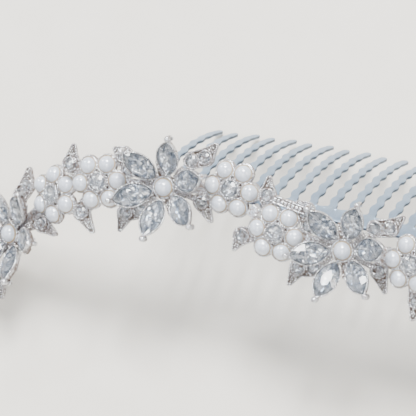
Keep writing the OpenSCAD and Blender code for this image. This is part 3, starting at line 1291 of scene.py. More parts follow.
@dataclass(frozen=True)
class TopRail:
    """The middle unit's top rail: a channel with two smooth rims and square beads in it.

    Attributes:
        inset: How far it starts from the first stone's middle.
        width: Width of the channel.
        rim_off: Distance of each rim's middle from the rail's.
        rim_w: Width of a rim.
        bead_pitch: Distance from one bead to the next.
        end_room: Length without beads at the far end.
    """

    inset: float = 1.5
    width: float = 1.5
    rim_off: float = 0.62
    rim_w: float = 0.3
    bead_pitch: float = 0.76
    end_room: float = 0.6

    def shell(self, stone: Array, leaf: Array) -> Shell:
        """The rail from beside one stone to another.

        Args:
            stone: Flat middle of the upper link leaf's stone.
            leaf: Flat middle of the upper left leaf's outer stone.

        Returns:
            The rail on the unit's face.
        """
        way = leaf - stone
        length = float(np.linalg.norm(way))
        start = stone + way / length * self.inset
        parts = [bar(start, leaf, self.width, 0, 1.35).shaded_by_height(1.35, 1.5)]
        for off in (-self.rim_off, self.rim_off):
            shift = off * np.array([-way[1], way[0]]) / length
            parts.append(bar(start + shift, leaf + shift, self.rim_w, 0.5, 1.66))
        place = headed(start, way)
        bead = block((0.06, -0.36, 1.0), (0.7, 0.36, 1.72), 0.16, 2).second()
        count = int((length - self.inset - self.end_room) / self.bead_pitch)
        parts.append(bead.copied([place @ moved(self.bead_pitch * k, 0, 0) for k in range(count)]))
        return Shell.joined(parts)


@dataclass(frozen=True)
class FlowerCasting:
    """One cast flower unit in white metal, drawn on its own face.

    Its second finish is the beaded texture.

    Attributes:
        unit: Where it is, and what is special to it.
        leaf_widths: Radii of a leaf at its inner stone, outer stone, waist and point.
        link_widths: Radii of a link leaf at its root, stone, waist and point.
        waist_share: Where the waist is between the outer stone and the point.
        root_share: Where a leaf's core and a link leaf's root are, on the way to the outer stone.
        leaf_seed: Start of the first leaf's random numbers. The other leaves count on from it.
        link_seed: The same for the link leaves.
        stub_half: Half the width of a stub towards the next unit.
    """

    unit: UnitPlace
    leaf_widths: tuple[float, ...] = (1.7, 1.85, 1.15, 0.42)
    link_widths: tuple[float, ...] = (1.3, 1.85, 1.1, 0.45)
    waist_share: float = 0.45
    root_share: float = 0.65
    leaf_seed: int = 20
    link_seed: int = 40
    stub_half: float = 1.1

    def chain(self, root: Array, stone: Array, tip: Array, widths: Sequence[float]) -> Array:
        """Circles that a leaf is drawn through, with its waist between its outer stone and its point.

        Args:
            root: Where it starts.
            stone: Middle of its outer stone.
            tip: Its point.
            widths: Radii at the root, stone, waist and point.

        Returns:
            Middle and radius of each circle, a row each.
        """
        waist = stone * (1 - self.waist_share) + tip * self.waist_share
        return np.column_stack([[root, stone, waist, tip], widths])

    def leaves(self) -> Shell:
        """The leaves between the petals and the link leaves.

        Returns:
            All the leaves.
        """
        share = self.root_share
        found = []
        for k, row in enumerate(PLAN.leaves()):
            tip, far, near = row[0], row[1], row[-1]
            nodes = self.chain(near, far, tip, self.leaf_widths)
            core = near * (1 - share) + far * share
            found.append(Leaf(nodes, row[1:], core, self.leaf_seed + k))
        for k, (middle, stone, tip) in enumerate(PLAN.links(self.unit)):
            root = middle * (1 - share) + stone * share
            nodes = self.chain(root, stone, tip, self.link_widths)
            found.append(Leaf(nodes, stone[None], stone, self.link_seed + k))
        return Shell.joined([leaf.shell() for leaf in found])

    def bars(self) -> Shell:
        """The bars behind the flower that join its rosettes and leaves.

        Returns:
            All the bars.
        """
        hub = np.zeros(2)
        width = PLAN.bar_w
        sides = [PLAN.rosette(side)[:2, 3] for side in (0, 1)]
        parts = [bar(hub, middle, width, 0, PLAN.plate_h) for middle in sides]
        parts += [bar(hub, row[1], width / 2, 0, PLAN.leaf_h) for row in PLAN.leaves()]
        parts += [bar(middle, stone, width, 0, PLAN.leaf_h) for middle, stone, _ in PLAN.links(self.unit)]
        return Shell.joined(parts).shaded_by_height(0.1, 1.2)

    def link_stubs(self) -> Shell:
        """Stubs under the middle unit's rosettes that meet the side units' castings.

        Returns:
            Both stubs.
        """
        to_middle = np.linalg.inv(self.unit.matrix()) @ UNITS[1].matrix() @ PLAN.rosette(1)
        start = PLAN.rosette(0)[:3, 3]
        way = to_middle[:3, 3] - start
        gap = float(np.linalg.norm(way[:2])) - 2 * PLAN.rosette_r + 0.38
        low = (PLAN.rosette_r - 0.8, -self.stub_half, way[2] + PLAN.plate_h / 4)
        high = (PLAN.rosette_r + gap, self.stub_half, PLAN.plate_h)
        left = block(low, high).carried(headed(start, way))
        return Shell.joined([left, left.carried(mirrored(Axis.X))])

    def on_face(self) -> Shell:
        """The whole unit on its own face.

        Returns:
            The casting.
        """
        hub = FlowerHub()
        petals = [PLAN.petal(k) for k in range(PLAN.petal_count)]
        parts = [hub.cup(), hub.webs(), PetalCup().shell().copied(petals), self.leaves(), self.bars()]
        for side, turn in enumerate(self.unit.pearl_turns):
            parts.append(Rosette(turn).shell().carried(PLAN.rosette(side)))
        if self.unit.middle:
            rail = TopRail().shell(PLAN.links(self.unit)[0][1], PLAN.leaves()[1][1])
            parts += [rail, self.link_stubs()]
        return Shell.joined(parts)


@dataclass(frozen=True)
class CombLug:
    """Lug behind each rosette of the middle unit that carries the comb's spine.

    Attributes:
        half_width: Half its width.
        front: Distance of its front behind the comb's origin.
        back: Distance of its end behind the comb's origin.
        height: Height of its middle above the comb's origin.
    """

    half_width: float = 2.2
    front: float = 2.4
    back: float = 5.85
    height: float = 2.2

    def shell(self) -> Shell:
        """Both lugs in the comb's frame.

        Returns:
            The lugs.
        """
        low = (PLAN.reach - self.half_width, self.front, self.height - SHEET_THICK / 2)
        high = (PLAN.reach + self.half_width, self.back, self.height + SHEET_THICK / 2)
        right = block(low, high)
        return Shell.joined([right, right.carried(mirrored(Axis.X))])


@dataclass(frozen=True)
class HalfPearl:
    """A half-round pearl with its flat at the bottom, and the ring of glue at its foot.

    Attributes:
        radius: Radius of its round side.
        dome: How far the round side's middle is above the flat.
        gap: Height of the flat above the cup's floor.
        top: Latitude of the last ring, beside the top.
        steps: Points round the pearl.
        rings: Rings of points up its round side.
    """

    radius: float
    dome: float = 0.25
    gap: float = 0.1
    top: float = 88.5
    steps: int = 36
    rings: int = 16

    def shell(self) -> Shell:
        """The pearl, with its glue as second finish.

        The pearl is a circle's arc turned about Z, from the flat's edge up to its top.

        Returns:
            Both closed surfaces.
        """
        r = self.radius
        low = -math.degrees(math.asin(self.dome / r))
        arc = polar(r, np.linspace(low, self.top, self.rings)) + (0.0, self.gap + self.dome)
        pearl = lathed([(0.1, self.gap), *arc], self.steps)
        profile = (
            (r - 0.25, 0.3),
            (r + 0.14, 0.3),
            (r + 0.12, 0.62),
            (r + 0.05, 0.7),
            (r - 0.04, 0.76),
            (r - 0.25, 0.7),
        )
        return Shell.joined([pearl, lathed(profile, self.steps, looped=True).second()])


@dataclass(frozen=True)
class StampedComb:
    """Spine strip and wavy teeth, stamped from one sheet and bent, in the comb's own frame.

    Its second finish is that of the sheet's cut edges, darker than the faces as painted shade.

    Attributes:
        teeth: Number of teeth.
        pitch: Distance from one tooth to the next.
        length: Length of a long tooth along its curve.
        stagger: How much shorter every other tooth is.
        width: Width of a tooth at its root.
        wave: How far a tooth's edges swing to each side.
        waves: Waves along a tooth.
        bend: Angle that a tooth curves through.
        root_y: Distance of the teeth's roots behind the comb's origin.
        height: Height of the spine above the comb's origin.
        arch_r: Radius of the arch from side to side.
        front_y: Distance of the spine's front edge behind the origin, at its middle.
        edge: Radius of the sheet's rounded edges.
        corner: Radius of the corners between the teeth.
        taper: Share of its width that a tooth loses by its tip.
        tip: Length of a tooth's rounded tip.
        section_steps: Points in each rounded corner of a section.
        cut_faces: Places in a section where the sheet's two cut edges are.
    """

    teeth: int = 22
    pitch: float = 4.0
    length: float = 36.6
    stagger: float = 2.0
    width: float = 1.6
    wave: float = 0.25
    waves: int = 8
    bend: float = 23.0
    root_y: float = 10.2
    height: float = 2.5
    arch_r: float = 320.0
    front_y: float = 5.6
    edge: float = 0.14
    corner: float = 0.7
    taper: float = 0.15
    tip: float = 1.1
    section_steps: int = 4
    cut_faces: tuple[int, ...] = (7, 15)

    def section(self, width: Array) -> tuple[Array, Array]:
        """Rounded strip section: across and through the sheet, for each width.

        Args:
            width: Width of the strip at each ring.

        Returns:
            Across, ring by place, and through, by place.
        """
        count = self.section_steps
        quarter = np.radians(np.linspace(0, 90, count))
        a = np.concatenate([quarter + turn * math.pi / 2 for turn in (0, 1, 2, -1)])
        side = np.repeat([1, -1, -1, 1], count)
        level = np.repeat([1, 1, -1, -1], count)
        across = side * (width[:, None] / 2 - self.edge) + self.edge * np.cos(a)
        through = level * (SHEET_THICK / 2 - self.edge) + self.edge * np.sin(a)
        return across, through

    def strip(self, rings: Array) -> Shell:
        """Covers a strip's sections and gives its two cut edges and its ends the second finish.

        Args:
            rings: The sections, as ring by place by 3.

        Returns:
            The strip.
        """
        shell = skin(rings)
        count, sides = rings.shape[:2]
        walls = np.isin(np.tile(np.arange(sides), count - 1), self.cut_faces).astype(int)
        lids = np.full(len(shell.faces) - len(walls), Face.SECOND.value)
        return replace(shell, finish=np.concatenate([walls, lids]))

    def tooth(self, length: float) -> Shell:
        """One tooth along Y from its root, bending down.

        At arc angle t the middle is (w sin(2 pi n s), R sin t, R cos t - R), so both edges
        swing together, and the waves die away over the last third. The root widens in a
        quarter circle on each side, and the tip narrows along an ellipse.

        Args:
            length: Length along the curve.

        Returns:
            The tooth.
        """
        big = self.length / math.radians(self.bend)
        shank = np.linspace(0, 0.97, 130)
        crowded = np.sin(np.linspace(0.2, 1.56, 8))
        s = np.concatenate([[-0.02], shank, 0.97 + 0.03 * crowded])
        run = s * length
        turn = run / big
        swing = np.where(s > 0, np.sin(2 * math.pi * self.waves * s), 0.0)
        fade = np.clip((0.95 - s) / 0.35, 0, 1)
        swing = np.tanh(1.3 * swing) * self.wave * fade
        flare = np.clip(self.corner - run, 0, self.corner)
        flare = self.corner - np.sqrt(self.corner**2 - flare**2)
        narrow = np.sqrt(1 - np.clip((run - (length - self.tip)) / self.tip, 0, 0.98) ** 2)
        width = (self.width * (1 - self.taper * np.clip(s, 0, 1) ** 2) + 2 * flare) * narrow
        across, through = self.section(np.maximum(width, 2 * self.edge + 0.02))
        x = swing[:, None] + across
        radius = big + through[None, :]
        y = radius * np.sin(turn)[:, None]
        z = radius * np.cos(turn)[:, None] - big
        return self.strip(np.stack([x, y, z], axis=-1)[:, ::-1])

    def spine(self) -> Shell:
        """Spine strip, arched from side to side, its front edge following the flowers.

        Each ring is a section across Y at one angle of the arch.

        Returns:
            The strip.
        """
        half = (self.teeth - 1) / 2 * self.pitch + self.width / 2
        x = np.linspace(-half, half, 120)
        front = self.front_y + WRAP_R - np.sqrt(WRAP_R**2 - x**2)
        across, through = self.section(self.root_y - front)
        tilt = np.arcsin(x / self.arch_r)[:, None]
        radius = self.arch_r + through[None, :]
        y = (self.root_y + front)[:, None] / 2 + across
        z = radius * np.cos(tilt) - self.arch_r
        return self.strip(np.stack([radius * np.sin(tilt), y, z], axis=-1))

    def shell(self) -> Shell:
        """The whole comb in its own frame.

        Returns:
            The spine and its teeth.
        """
        parts = [self.spine()]
        for i in range(self.teeth):
            from_side = min(i, self.teeth - 1 - i)
            lean = math.degrees(math.asin((i - (self.teeth - 1) / 2) * self.pitch / self.arch_r))
            place = moved(0, self.root_y, -self.arch_r) @ turned(Axis.Y, lean) @ moved(0, 0, self.arch_r)
            parts.append(self.tooth(self.length - from_side % 2 * self.stagger).carried(place))
        return Shell.joined(parts).carried(moved(0, 0, self.height))


# Sockets of a Mix node by number: its factor, its two colours and the colour that comes out.
MIX, COLOUR_A, COLOUR_B, MIXED = 0, 6, 7, 2
# The range that most of a noise's values fall in.
NOISE_MIDDLE = {"From Min": 0.3, "From Max": 0.7}


def linear(hex_colour: str) -> tuple[float, float, float, float]:
    """Turns an sRGB hex colour into the linear one that the shaders take.

    Args:
        hex_colour: Six digits, such as "C0C4C8".

    Returns:
        Red, green, blue and 1.
    """
    values = np.array([int(hex_colour[i : i + 2], 16) / 255 for i in (0, 2, 4)])
    straight = np.where(values <= 0.04045, values / 12.92, ((values + 0.055) / 1.055) ** 2.4)
    return (*map(float, straight), 1.0)


def add(
    tree: bpy.types.NodeTree,
    kind: str,
    settings: dict[str | int, object] | None = None,
    links: dict[str | int, bpy.types.NodeSocket | bpy.types.Node] | None = None,
) -> bpy.types.Node:
    """Adds a node, with its settings and its links.

    Args:
        tree: The material's or world's nodes.
        kind: The node's type, without the word that every shader node's type starts with.
        settings: Values of its inputs, by name or number, or of its own properties.
        links: What feeds each input: an output, or a node for that node's first output.

    Returns:
        The new node.
    """
    node = tree.nodes.new(f"ShaderNode{kind}")
    for key, value in (settings or {}).items():
        if isinstance(key, int) or key in node.inputs:
            node.inputs[key].default_value = value
        else:
            setattr(node, key, value)
    for key, source in (links or {}).items():
        socket = source.outputs[0] if isinstance(source, bpy.types.Node) else source
        tree.links.new(socket, node.inputs[key])
    return node


def begun(name: str) -> tuple[bpy.types.Material, bpy.types.NodeTree, bpy.types.NodeSocket]:
    """Starts a material.

    Args:
        name: Its name.

    Returns:
        The material, its empty node tree and the output of Object coordinates.
    """
    material = bpy.data.materials.new(name)
    material.use_nodes = True
    tree = material.node_tree
    tree.nodes.clear()
    return material, tree, add(tree, "TexCoord").outputs["Object"]


def per_metre(millimetres: float) -> float:
    """Scale of a pattern whose size is so many millimetres."""
    return 1.0 / (millimetres * TO_METRES)


@dataclass(frozen=True)
class CastRhodiumPlate:
    """White metal, lost-wax cast, tumbled and rhodium plated.

    Bright and slightly cool, pebbled with the grains of the casting, and dull warm residue left
    between them and in the crevices, whose colour also paints the shade there. The finest real
    grains are smaller, and are drawn 0.45 mm across so that they show.

    Attributes:
        name: The material's name.
        bright: The plate where it is clean.
        shaded: The plate's darker clouds.
        residue_and_shade: What is left in the crevices, whose colour also paints the shade there.
        roughness: The plate's least and most.
        dent_mm: Size of the fine dents. The clouds are four times as large.
        pebble_mm: Size of the grains.
        pebble_depth: Strength of their relief.
        depth_share: How much a point's depth adds to its residue and painted shade.
        residue_and_shade_range: Where the residue and painted shade start and are full, from a grain's
            middle outwards.
        residue_and_shade_dull: How much rougher full residue and painted shade are.
        residue_and_shade_bare: How much of the metal's look full residue and painted shade take away.
    """

    name: str = "cast_rhodium_plate"
    bright: str = "E8EAED"
    shaded: str = "C9CDD4"
    # The residue's brown also paints the shade in the crevices and between the grains.
    residue_and_shade: str = "66554A"
    roughness: tuple[float, float] = (0.12, 0.3)
    dent_mm: float = 0.4
    pebble_mm: float = 0.45
    pebble_depth: float = 0.5
    depth_share: float = 0.6
    residue_and_shade_range: tuple[float, float] = (0.42, 0.85)
    residue_and_shade_dull: float = 0.35
    residue_and_shade_bare: float = 0.7

    def make(self) -> bpy.types.Material:
        """Builds the material. The residue and painted shade grow with the point's depth and towards a
        grain's edge.

        Returns:
            The material.
        """
        material, tree, place = begun(self.name)
        clouds = {"Scale": per_metre(self.dent_mm * 4), "Detail": 3.0}
        broad = add(tree, "TexNoise", clouds, {"Vector": place})
        fine = add(tree, "TexNoise", {"Scale": per_metre(self.dent_mm), "Detail": 4.0}, {"Vector": place})
        depth = add(tree, "Attribute", {"attribute_name": "hollow"}).outputs["Fac"]
        pebble = add(tree, "TexVoronoi", {"Scale": per_metre(self.pebble_mm)}, {"Vector": place})
        deepened = {"operation": "MULTIPLY_ADD", 1: self.depth_share}
        ragged = add(tree, "Math", deepened, {0: depth, 2: pebble})
        clean, full = self.residue_and_shade_range
        spread = {"From Min": clean, "From Max": full, "To Max": 0.95}
        # Painted shade and residue: deep points and the edges of the grains turn to the residue's brown.
        grime_and_shade = add(tree, "MapRange", spread, {"Value": ragged})
        tones = {"data_type": "RGBA", COLOUR_A: linear(self.shaded), COLOUR_B: linear(self.bright)}
        plate = add(tree, "Mix", tones, {MIX: broad}).outputs[MIXED]
        dirt_and_shade = {"data_type": "RGBA", COLOUR_B: linear(self.residue_and_shade)}
        colour = add(tree, "Mix", dirt_and_shade, {MIX: grime_and_shade, COLOUR_A: plate}).outputs[MIXED]
        low, high = self.roughness
        dull = add(tree, "MapRange", NOISE_MIDDLE | {"To Min": low, "To Max": high}, {"Value": fine})
        duller = add(tree, "Math", {"operation": "MULTIPLY_ADD", 1: self.residue_and_shade_dull}, {0: grime_and_shade, 2: dull})
        relief = {"Strength": self.pebble_depth, "Distance": 0.00015, "invert": True}
        dents = add(tree, "Bump", relief, {"Height": pebble})
        metal = add(tree, "Math", {"operation": "MULTIPLY_ADD", 1: -self.residue_and_shade_bare, 2: 1.0}, {0: grime_and_shade})
        looks = {"Base Color": colour, "Metallic": metal, "Roughness": duller, "Normal": dents}
        add(tree, "OutputMaterial", links={"Surface": add(tree, "BsdfPrincipled", links=looks)})
        return material


@dataclass(frozen=True)
class SatinPlatedSheet:
    """Brass sheet, stamped and satin plated: even, with a faint grain along the teeth, in the colours it is
    given.

    A real satin grain is finer, and is drawn 0.25 mm wide so that it shows.
    """

    name: str
    light: str
    dark: str
    roughness: tuple[float, float]
    grain_mm: float = 0.25
    cloud_mm: float = 6.0

    def make(self) -> bpy.types.Material:
        """Builds the material. The grain is noise stretched four times along the teeth.

        Returns:
            The material.
        """
        material, tree, place = begun(self.name)
        stretch = add(tree, "Mapping", {"Scale": (1.0, 0.25, 0.25)}, {"Vector": place})
        lines = {"Scale": per_metre(self.grain_mm), "Detail": 3.0}
        grain = add(tree, "TexNoise", lines, {"Vector": stretch})
        cloud = add(tree, "TexNoise", {"Scale": per_metre(self.cloud_mm), "Detail": 2.0}, {"Vector": place})
        both = add(tree, "Math", {"operation": "MULTIPLY"}, {0: grain, 1: cloud})
        spread = add(tree, "MapRange", {"From Min": 0.12, "From Max": 0.4}, {"Value": both})
        tones = {"data_type": "RGBA", COLOUR_A: linear(self.dark), COLOUR_B: linear(self.light)}
        colour = add(tree, "Mix", tones, {MIX: spread}).outputs[MIXED]
        low, high = self.roughness
        dull = add(tree, "MapRange", NOISE_MIDDLE | {"To Min": low, "To Max": high}, {"Value": grain})
        bump = add(tree, "Bump", {"Strength": 0.15, "Distance": 0.00003}, {"Height": grain})
        looks = {"Base Color": colour, "Roughness": dull, "Normal": bump}
        shader = add(tree, "BsdfPrincipled", {"Metallic": 1.0}, looks)
        add(tree, "OutputMaterial", links={"Surface": shader})
        return material


@dataclass(frozen=True)
class LeadCrystal:
    """Machine-cut glass: clear, faintly cool, with polished facets that bow a very little."""

    name: str = "cut_crystal"
    tint: str = "F5F8FB"
    index: float = 1.6
    bow_mm: float = 1.5

    def make(self) -> bpy.types.Material:
        """Builds the material.

        Returns:
            The material.
        """
        material, tree, place = begun(self.name)
        bow = add(tree, "TexNoise", {"Scale": per_metre(self.bow_mm), "Detail": 1.0}, {"Vector": place})
        bump = add(tree, "Bump", {"Strength": 0.1, "Distance": 0.0001}, {"Height": bow})
        glass = {"Roughness": 0.0, "IOR": self.index, "Transmission Weight": 1.0}
        shader = add(tree, "BsdfPrincipled", glass | {"Base Color": linear(self.tint)}, {"Normal": bump})
        add(tree, "OutputMaterial", links={"Surface": shader})
        return material


@dataclass(frozen=True)
class SilverFoil:
    """Silver foil on the back of a stone, crimped in small flats that each catch the light apart.

    Real creases lie closer, and are drawn 0.6 mm apart so that the flats show as separate glints.

    Attributes:
        name: The material's name.
        bright: The lightest flats.
        grey: The darkest flats.
        flat_mm: Size of a flat.
        tilt: How far the flats lean, as the length that is added to the normal.
    """

    name: str = "silver_foil_back"
    bright: str = "FDFEFF"
    grey: str = "A4ADBA"
    flat_mm: float = 0.6
    tilt: float = 0.65

    def make(self) -> bpy.types.Material:
        """Builds the material. Each flat has its own grey, and its own tilt added to the normal.

        Returns:
            The material.
        """
        material, tree, place = begun(self.name)
        flats = add(tree, "TexVoronoi", {"Scale": per_metre(self.flat_mm)}, {"Vector": place})
        cell = flats.outputs["Color"]
        spread = add(tree, "MapRange", {"From Min": 0.35, "From Max": 0.6}, {"Value": cell})
        tones = {"data_type": "RGBA", COLOUR_A: linear(self.grey), COLOUR_B: linear(self.bright)}
        colour = add(tree, "Mix", tones, {MIX: spread}).outputs[MIXED]
        surface = add(tree, "NewGeometry").outputs["Normal"]
        centred = add(tree, "VectorMath", {"operation": "SUBTRACT", 1: (0.5,) * 3}, {0: cell})
        lean = {"operation": "MULTIPLY_ADD", 1: (self.tilt,) * 3}
        tilted = add(tree, "VectorMath", lean, {0: centred, 2: surface})
        normal = add(tree, "VectorMath", {"operation": "NORMALIZE"}, {0: tilted})
        looks = {"Base Color": colour, "Normal": normal}
        shader = add(tree, "BsdfPrincipled", {"Metallic": 0.75, "Roughness": 0.08}, looks)
        add(tree, "OutputMaterial", links={"Surface": shader})
        return material


@dataclass(frozen=True)
class PearlLacquer:
    """Resin half-pearl under pearl-essence lacquer: milky, softly lit from within, glossy skin.

    The essence's plates reflect more than plain lacquer does, so the coat's index is high.
    """

    name: str = "pearl_lacquer"
    white: str = "CCD1D9"
    cool: str = "BAC2CF"
    cloud_mm: float = 2.5
    essence_mm: float = 0.6

    def make(self) -> bpy.types.Material:
        """Builds the material.

        Returns:
            The material.
        """
        material, tree, place = begun(self.name)
        cloud = add(tree, "TexNoise", {"Scale": per_metre(self.cloud_mm), "Detail": 2.0}, {"Vector": place})
        tones = {"data_type": "RGBA", COLOUR_A: linear(self.cool), COLOUR_B: linear(self.white)}
        colour = add(tree, "Mix", tones, {MIX: cloud}).outputs[MIXED]
        plates = {"Scale": per_metre(self.essence_mm), "Detail": 2.0}
        orient = add(tree, "TexNoise", plates, {"Vector": place})
        dull = add(tree, "MapRange", NOISE_MIDDLE | {"To Min": 0.22, "To Max": 0.34}, {"Value": orient})
        bump = add(tree, "Bump", {"Strength": 0.06, "Distance": 0.00005}, {"Height": orient})
        resin = {
            "IOR": 1.56,
            "Subsurface Weight": 0.35,
            "Subsurface Radius": (1.0, 0.9, 0.85),
            "Subsurface Scale": 0.0006,
            "Coat Weight": 1.0,
            "Coat Roughness": 0.09,
            "Coat IOR": 1.83,
        }
        looks = {"Base Color": colour, "Roughness": dull, "Normal": bump}
        add(tree, "OutputMaterial", links={"Surface": add(tree, "BsdfPrincipled", resin, looks)})
        return material


@dataclass(frozen=True)
class JewelGlue:
    """Cured jeweller's glue squeezed out round a pearl: warm cream, half clear, uneven."""

    name: str = "jewel_glue"
    pale: str = "B9A888"
    deep: str = "836F55"
    patch_mm: float = 0.8

    def make(self) -> bpy.types.Material:
        """Builds the material.

        Returns:
            The material.
        """
        material, tree, place = begun(self.name)
        patch = add(tree, "TexNoise", {"Scale": per_metre(self.patch_mm), "Detail": 3.0}, {"Vector": place})
        tones = {"data_type": "RGBA", COLOUR_A: linear(self.deep), COLOUR_B: linear(self.pale)}
        colour = add(tree, "Mix", tones, {MIX: patch}).outputs[MIXED]
        bump = add(tree, "Bump", {"Strength": 0.4, "Distance": 0.0001}, {"Height": patch})
        cured = {"Roughness": 0.3, "Subsurface Weight": 0.2, "Subsurface Scale": 0.0003}
        shader = add(tree, "BsdfPrincipled", cured, {"Base Color": colour, "Normal": bump})
        add(tree, "OutputMaterial", links={"Surface": shader})
        return material


@dataclass(frozen=True)
class PalePaper:
    """Seamless paper for the floor: matt, pale and warm, with a faint mottle."""

    name: str = "pale_paper"
    light: str = "DAD6CD"
    shade: str = "D2CDC3"
    mottle_mm: float = 9.0

    def make(self) -> bpy.types.Material:
        """Builds the material.

        Returns:
            The material.
        """
        material, tree, place = begun(self.name)
        pulp = {"Scale": per_metre(self.mottle_mm), "Detail": 4.0}
        mottle = add(tree, "TexNoise", pulp, {"Vector": place})
        tones = {"data_type": "RGBA", COLOUR_A: linear(self.shade), COLOUR_B: linear(self.light)}
        colour = add(tree, "Mix", tones, {MIX: mottle}).outputs[MIXED]
        shader = add(tree, "BsdfPrincipled", {"Roughness": 0.85}, {"Base Color": colour})
        add(tree, "OutputMaterial", links={"Surface": shader})
        return material


@dataclass(frozen=True)
class Finishes:
    """The finishes of each kind of piece, main and second, made once and shared."""

    casting: list[bpy.types.Material]
    comb: list[bpy.types.Material]
    marquise: list[bpy.types.Material]
    round_stone: list[bpy.types.Material]
    pearl: list[bpy.types.Material]

    @staticmethod
    def made() -> Finishes:
        """Makes all the finishes.

        Returns:
            The finishes.
        """
        beads = CastRhodiumPlate(
            name="beaded_rhodium_plate",
            bright="F6F7F9",
            shaded="CBD0D7",
            roughness=(0.1, 0.24),
            dent_mm=0.2,
            pebble_mm=0.2,
            pebble_depth=0.2,
        )
        # The teeth's blue-grey is painted reflection of a blue sky on the satin plate.
        sheet = SatinPlatedSheet("satin_plated_sheet", "A0B4CB", "8CA1B9", (0.36, 0.5))
        # The cut edges' dark colours are painted shade.
        shaded_cut_edge = SatinPlatedSheet("stamped_edge_painted_shade", "6E7883", "4C5560", (0.4, 0.6))
        fine_foil = SilverFoil("fine_silver_foil", "FFFFFF", "C0C5CC", 0.42, 0.6)
        crystal = LeadCrystal().make()
        return Finishes(
            [CastRhodiumPlate().make(), beads.make()],
            [sheet.make(), shaded_cut_edge.make()],
            [crystal, SilverFoil().make()],
            [crystal, fine_foil.make()],
            [PearlLacquer().make(), JewelGlue().make()],
        )


@dataclass(frozen=True)
class Fitter:
    """Puts finished shells in the scene in place of the solid nodes.

    Attributes:
        rest: How the piece lies.
    """

    rest: Rest

    def fit(
        self,
        shell: Shell,
        matrix: Array,
        node: str,
        materials: Sequence[bpy.types.Material],
    ) -> None:
        """Carries a shell to rest, hides the solid node that it stands for and logs the fit.

        Args:
            shell: The piece in its own frame.
            matrix: From that frame to the comb's own frame.
            node: The solid node that it stands for.
            materials: The finishes of its faces.
        """
        shell = shell.carried(self.rest.matrix() @ matrix)
        piece = shell.to_piece(f"dressed_{node}", materials)
        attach(piece, BODY)
        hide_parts(node)
        low, high = np.array(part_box(node))
        points = shell.points * TO_METRES
        off = max(np.abs(points.min(axis=0) - low).max(), np.abs(points.max(axis=0) - high).max())
        LOG.info("%s: %d faces, box within %.2f mm", piece.name, len(shell.faces), off / TO_METRES)


@dataclass(frozen=True)
class JewelSet:
    """All the stones and pearls, and where they sit on each unit."""

    marquise: Marquise = Marquise()
    marquise_cut: GemCut = GemCut(crown=0.67, back=0.75, table=0.46, shoulder=0.76)
    round_cut: GemCut = GemCut(crown=0.54, back=0.85)
    leaf_cut: GemCut = GemCut(crown=0.38, back=0.42)
    round_r: float = 1.7
    ring_pearl: HalfPearl = HalfPearl(1.65)
    centre_pearl: HalfPearl = HalfPearl(1.75)

    def fit_unit(self, unit: UnitPlace, fitter: Fitter, finishes: Finishes) -> None:
        """Sets the marquise stones and the pearls of one unit.

        Args:
            unit: The unit.
            fitter: What puts pieces in the scene.
            finishes: The finishes.
        """
        face = unit.matrix()
        gem = self.marquise_cut.shell(self.marquise.ring(0.0, 16))
        for k in range(PLAN.petal_count):
            name = f"marquise_{unit.name}_{k + 1}"
            fitter.fit(gem, face @ PLAN.petal(k), name, finishes.marquise)
        sunk = moved(0, 0, -PLAN.seat)
        for side, turn in enumerate(unit.pearl_turns):
            pearls = self.ring_pearl.shell().copied([rim @ sunk for rim in PLAN.ring_pearls(turn)])
            name = f"pearls_{unit.name}_{side + 1}"
            fitter.fit(pearls, face @ PLAN.rosette(side), name, finishes.pearl)
        place = face @ moved(0, 0, PLAN.petal_z / 2 - PLAN.seat)
        name = f"centre_pearl_{unit.name}"
        fitter.fit(self.centre_pearl.shell(), place, name, finishes.pearl)

    def fit_round(self, fitter: Fitter, finishes: Finishes) -> None:
        """Sets the round stones of all the rosettes and leaves.

        Args:
            fitter: What puts pieces in the scene.
            finishes: The finishes.
        """
        big = self.round_cut.shell(polar(self.round_r, angles_round(16)))
        cup = moved(0, 0, PLAN.stone_cup_h)
        cups = [u.matrix() @ PLAN.rosette(side) @ cup for u in UNITS for side in (0, 1)]
        fitter.fit(big.copied(cups), np.eye(4), "round_stones", finishes.round_stone)
        small = self.leaf_cut.shell(polar(PLAN.leaf_stone_r, angles_round(16)))
        seats = [u.matrix() @ moved(*at, PLAN.plate_h) for u in UNITS for at in PLAN.leaf_stones(u)]
        fitter.fit(small.copied(seats), np.eye(4), "leaf_stones", finishes.round_stone)


def facing(place: Array, forward: Array, up: Array) -> Matrix:
    """Matrix of a camera or light that looks along a direction.

    Args:
        place: Where it is, in metres.
        forward: The way it looks.
        up: A direction that is up in its picture.

    Returns:
        The matrix that Blender takes.
    """
    right = np.cross(forward, up)
    right /= np.linalg.norm(right)
    matrix = np.eye(4)
    matrix[:3] = np.column_stack([right, np.cross(right, forward), -forward, place])
    return Matrix(matrix.tolist())


@dataclass(frozen=True)
class SoftBox:
    """A square studio light that faces the piece.

    Attributes:
        name: Its name.
        way: Direction from the piece.
        distance: Distance in metres.
        size: Side in metres.
        power: Power in watts.
        colour: Its colour.
    """

    name: str
    way: Point
    distance: float
    size: float
    power: float
    colour: str = "FFFFFF"

    def place(self, aim: Point) -> None:
        """Puts the light in the scene.

        Args:
            aim: The point that it faces, in metres.
        """
        lamp = bpy.data.lights.new(self.name, "AREA")
        lamp.size = self.size
        lamp.energy = self.power
        lamp.color = linear(self.colour)[:3]
        light = bpy.data.objects.new(self.name, lamp)
        away = np.array(self.way) / np.linalg.norm(self.way)
        light.matrix_world = facing(aim + away * self.distance, -away, np.array([0.0, 1.0, 0.02]))
        bpy.context.scene.collection.objects.link(light)


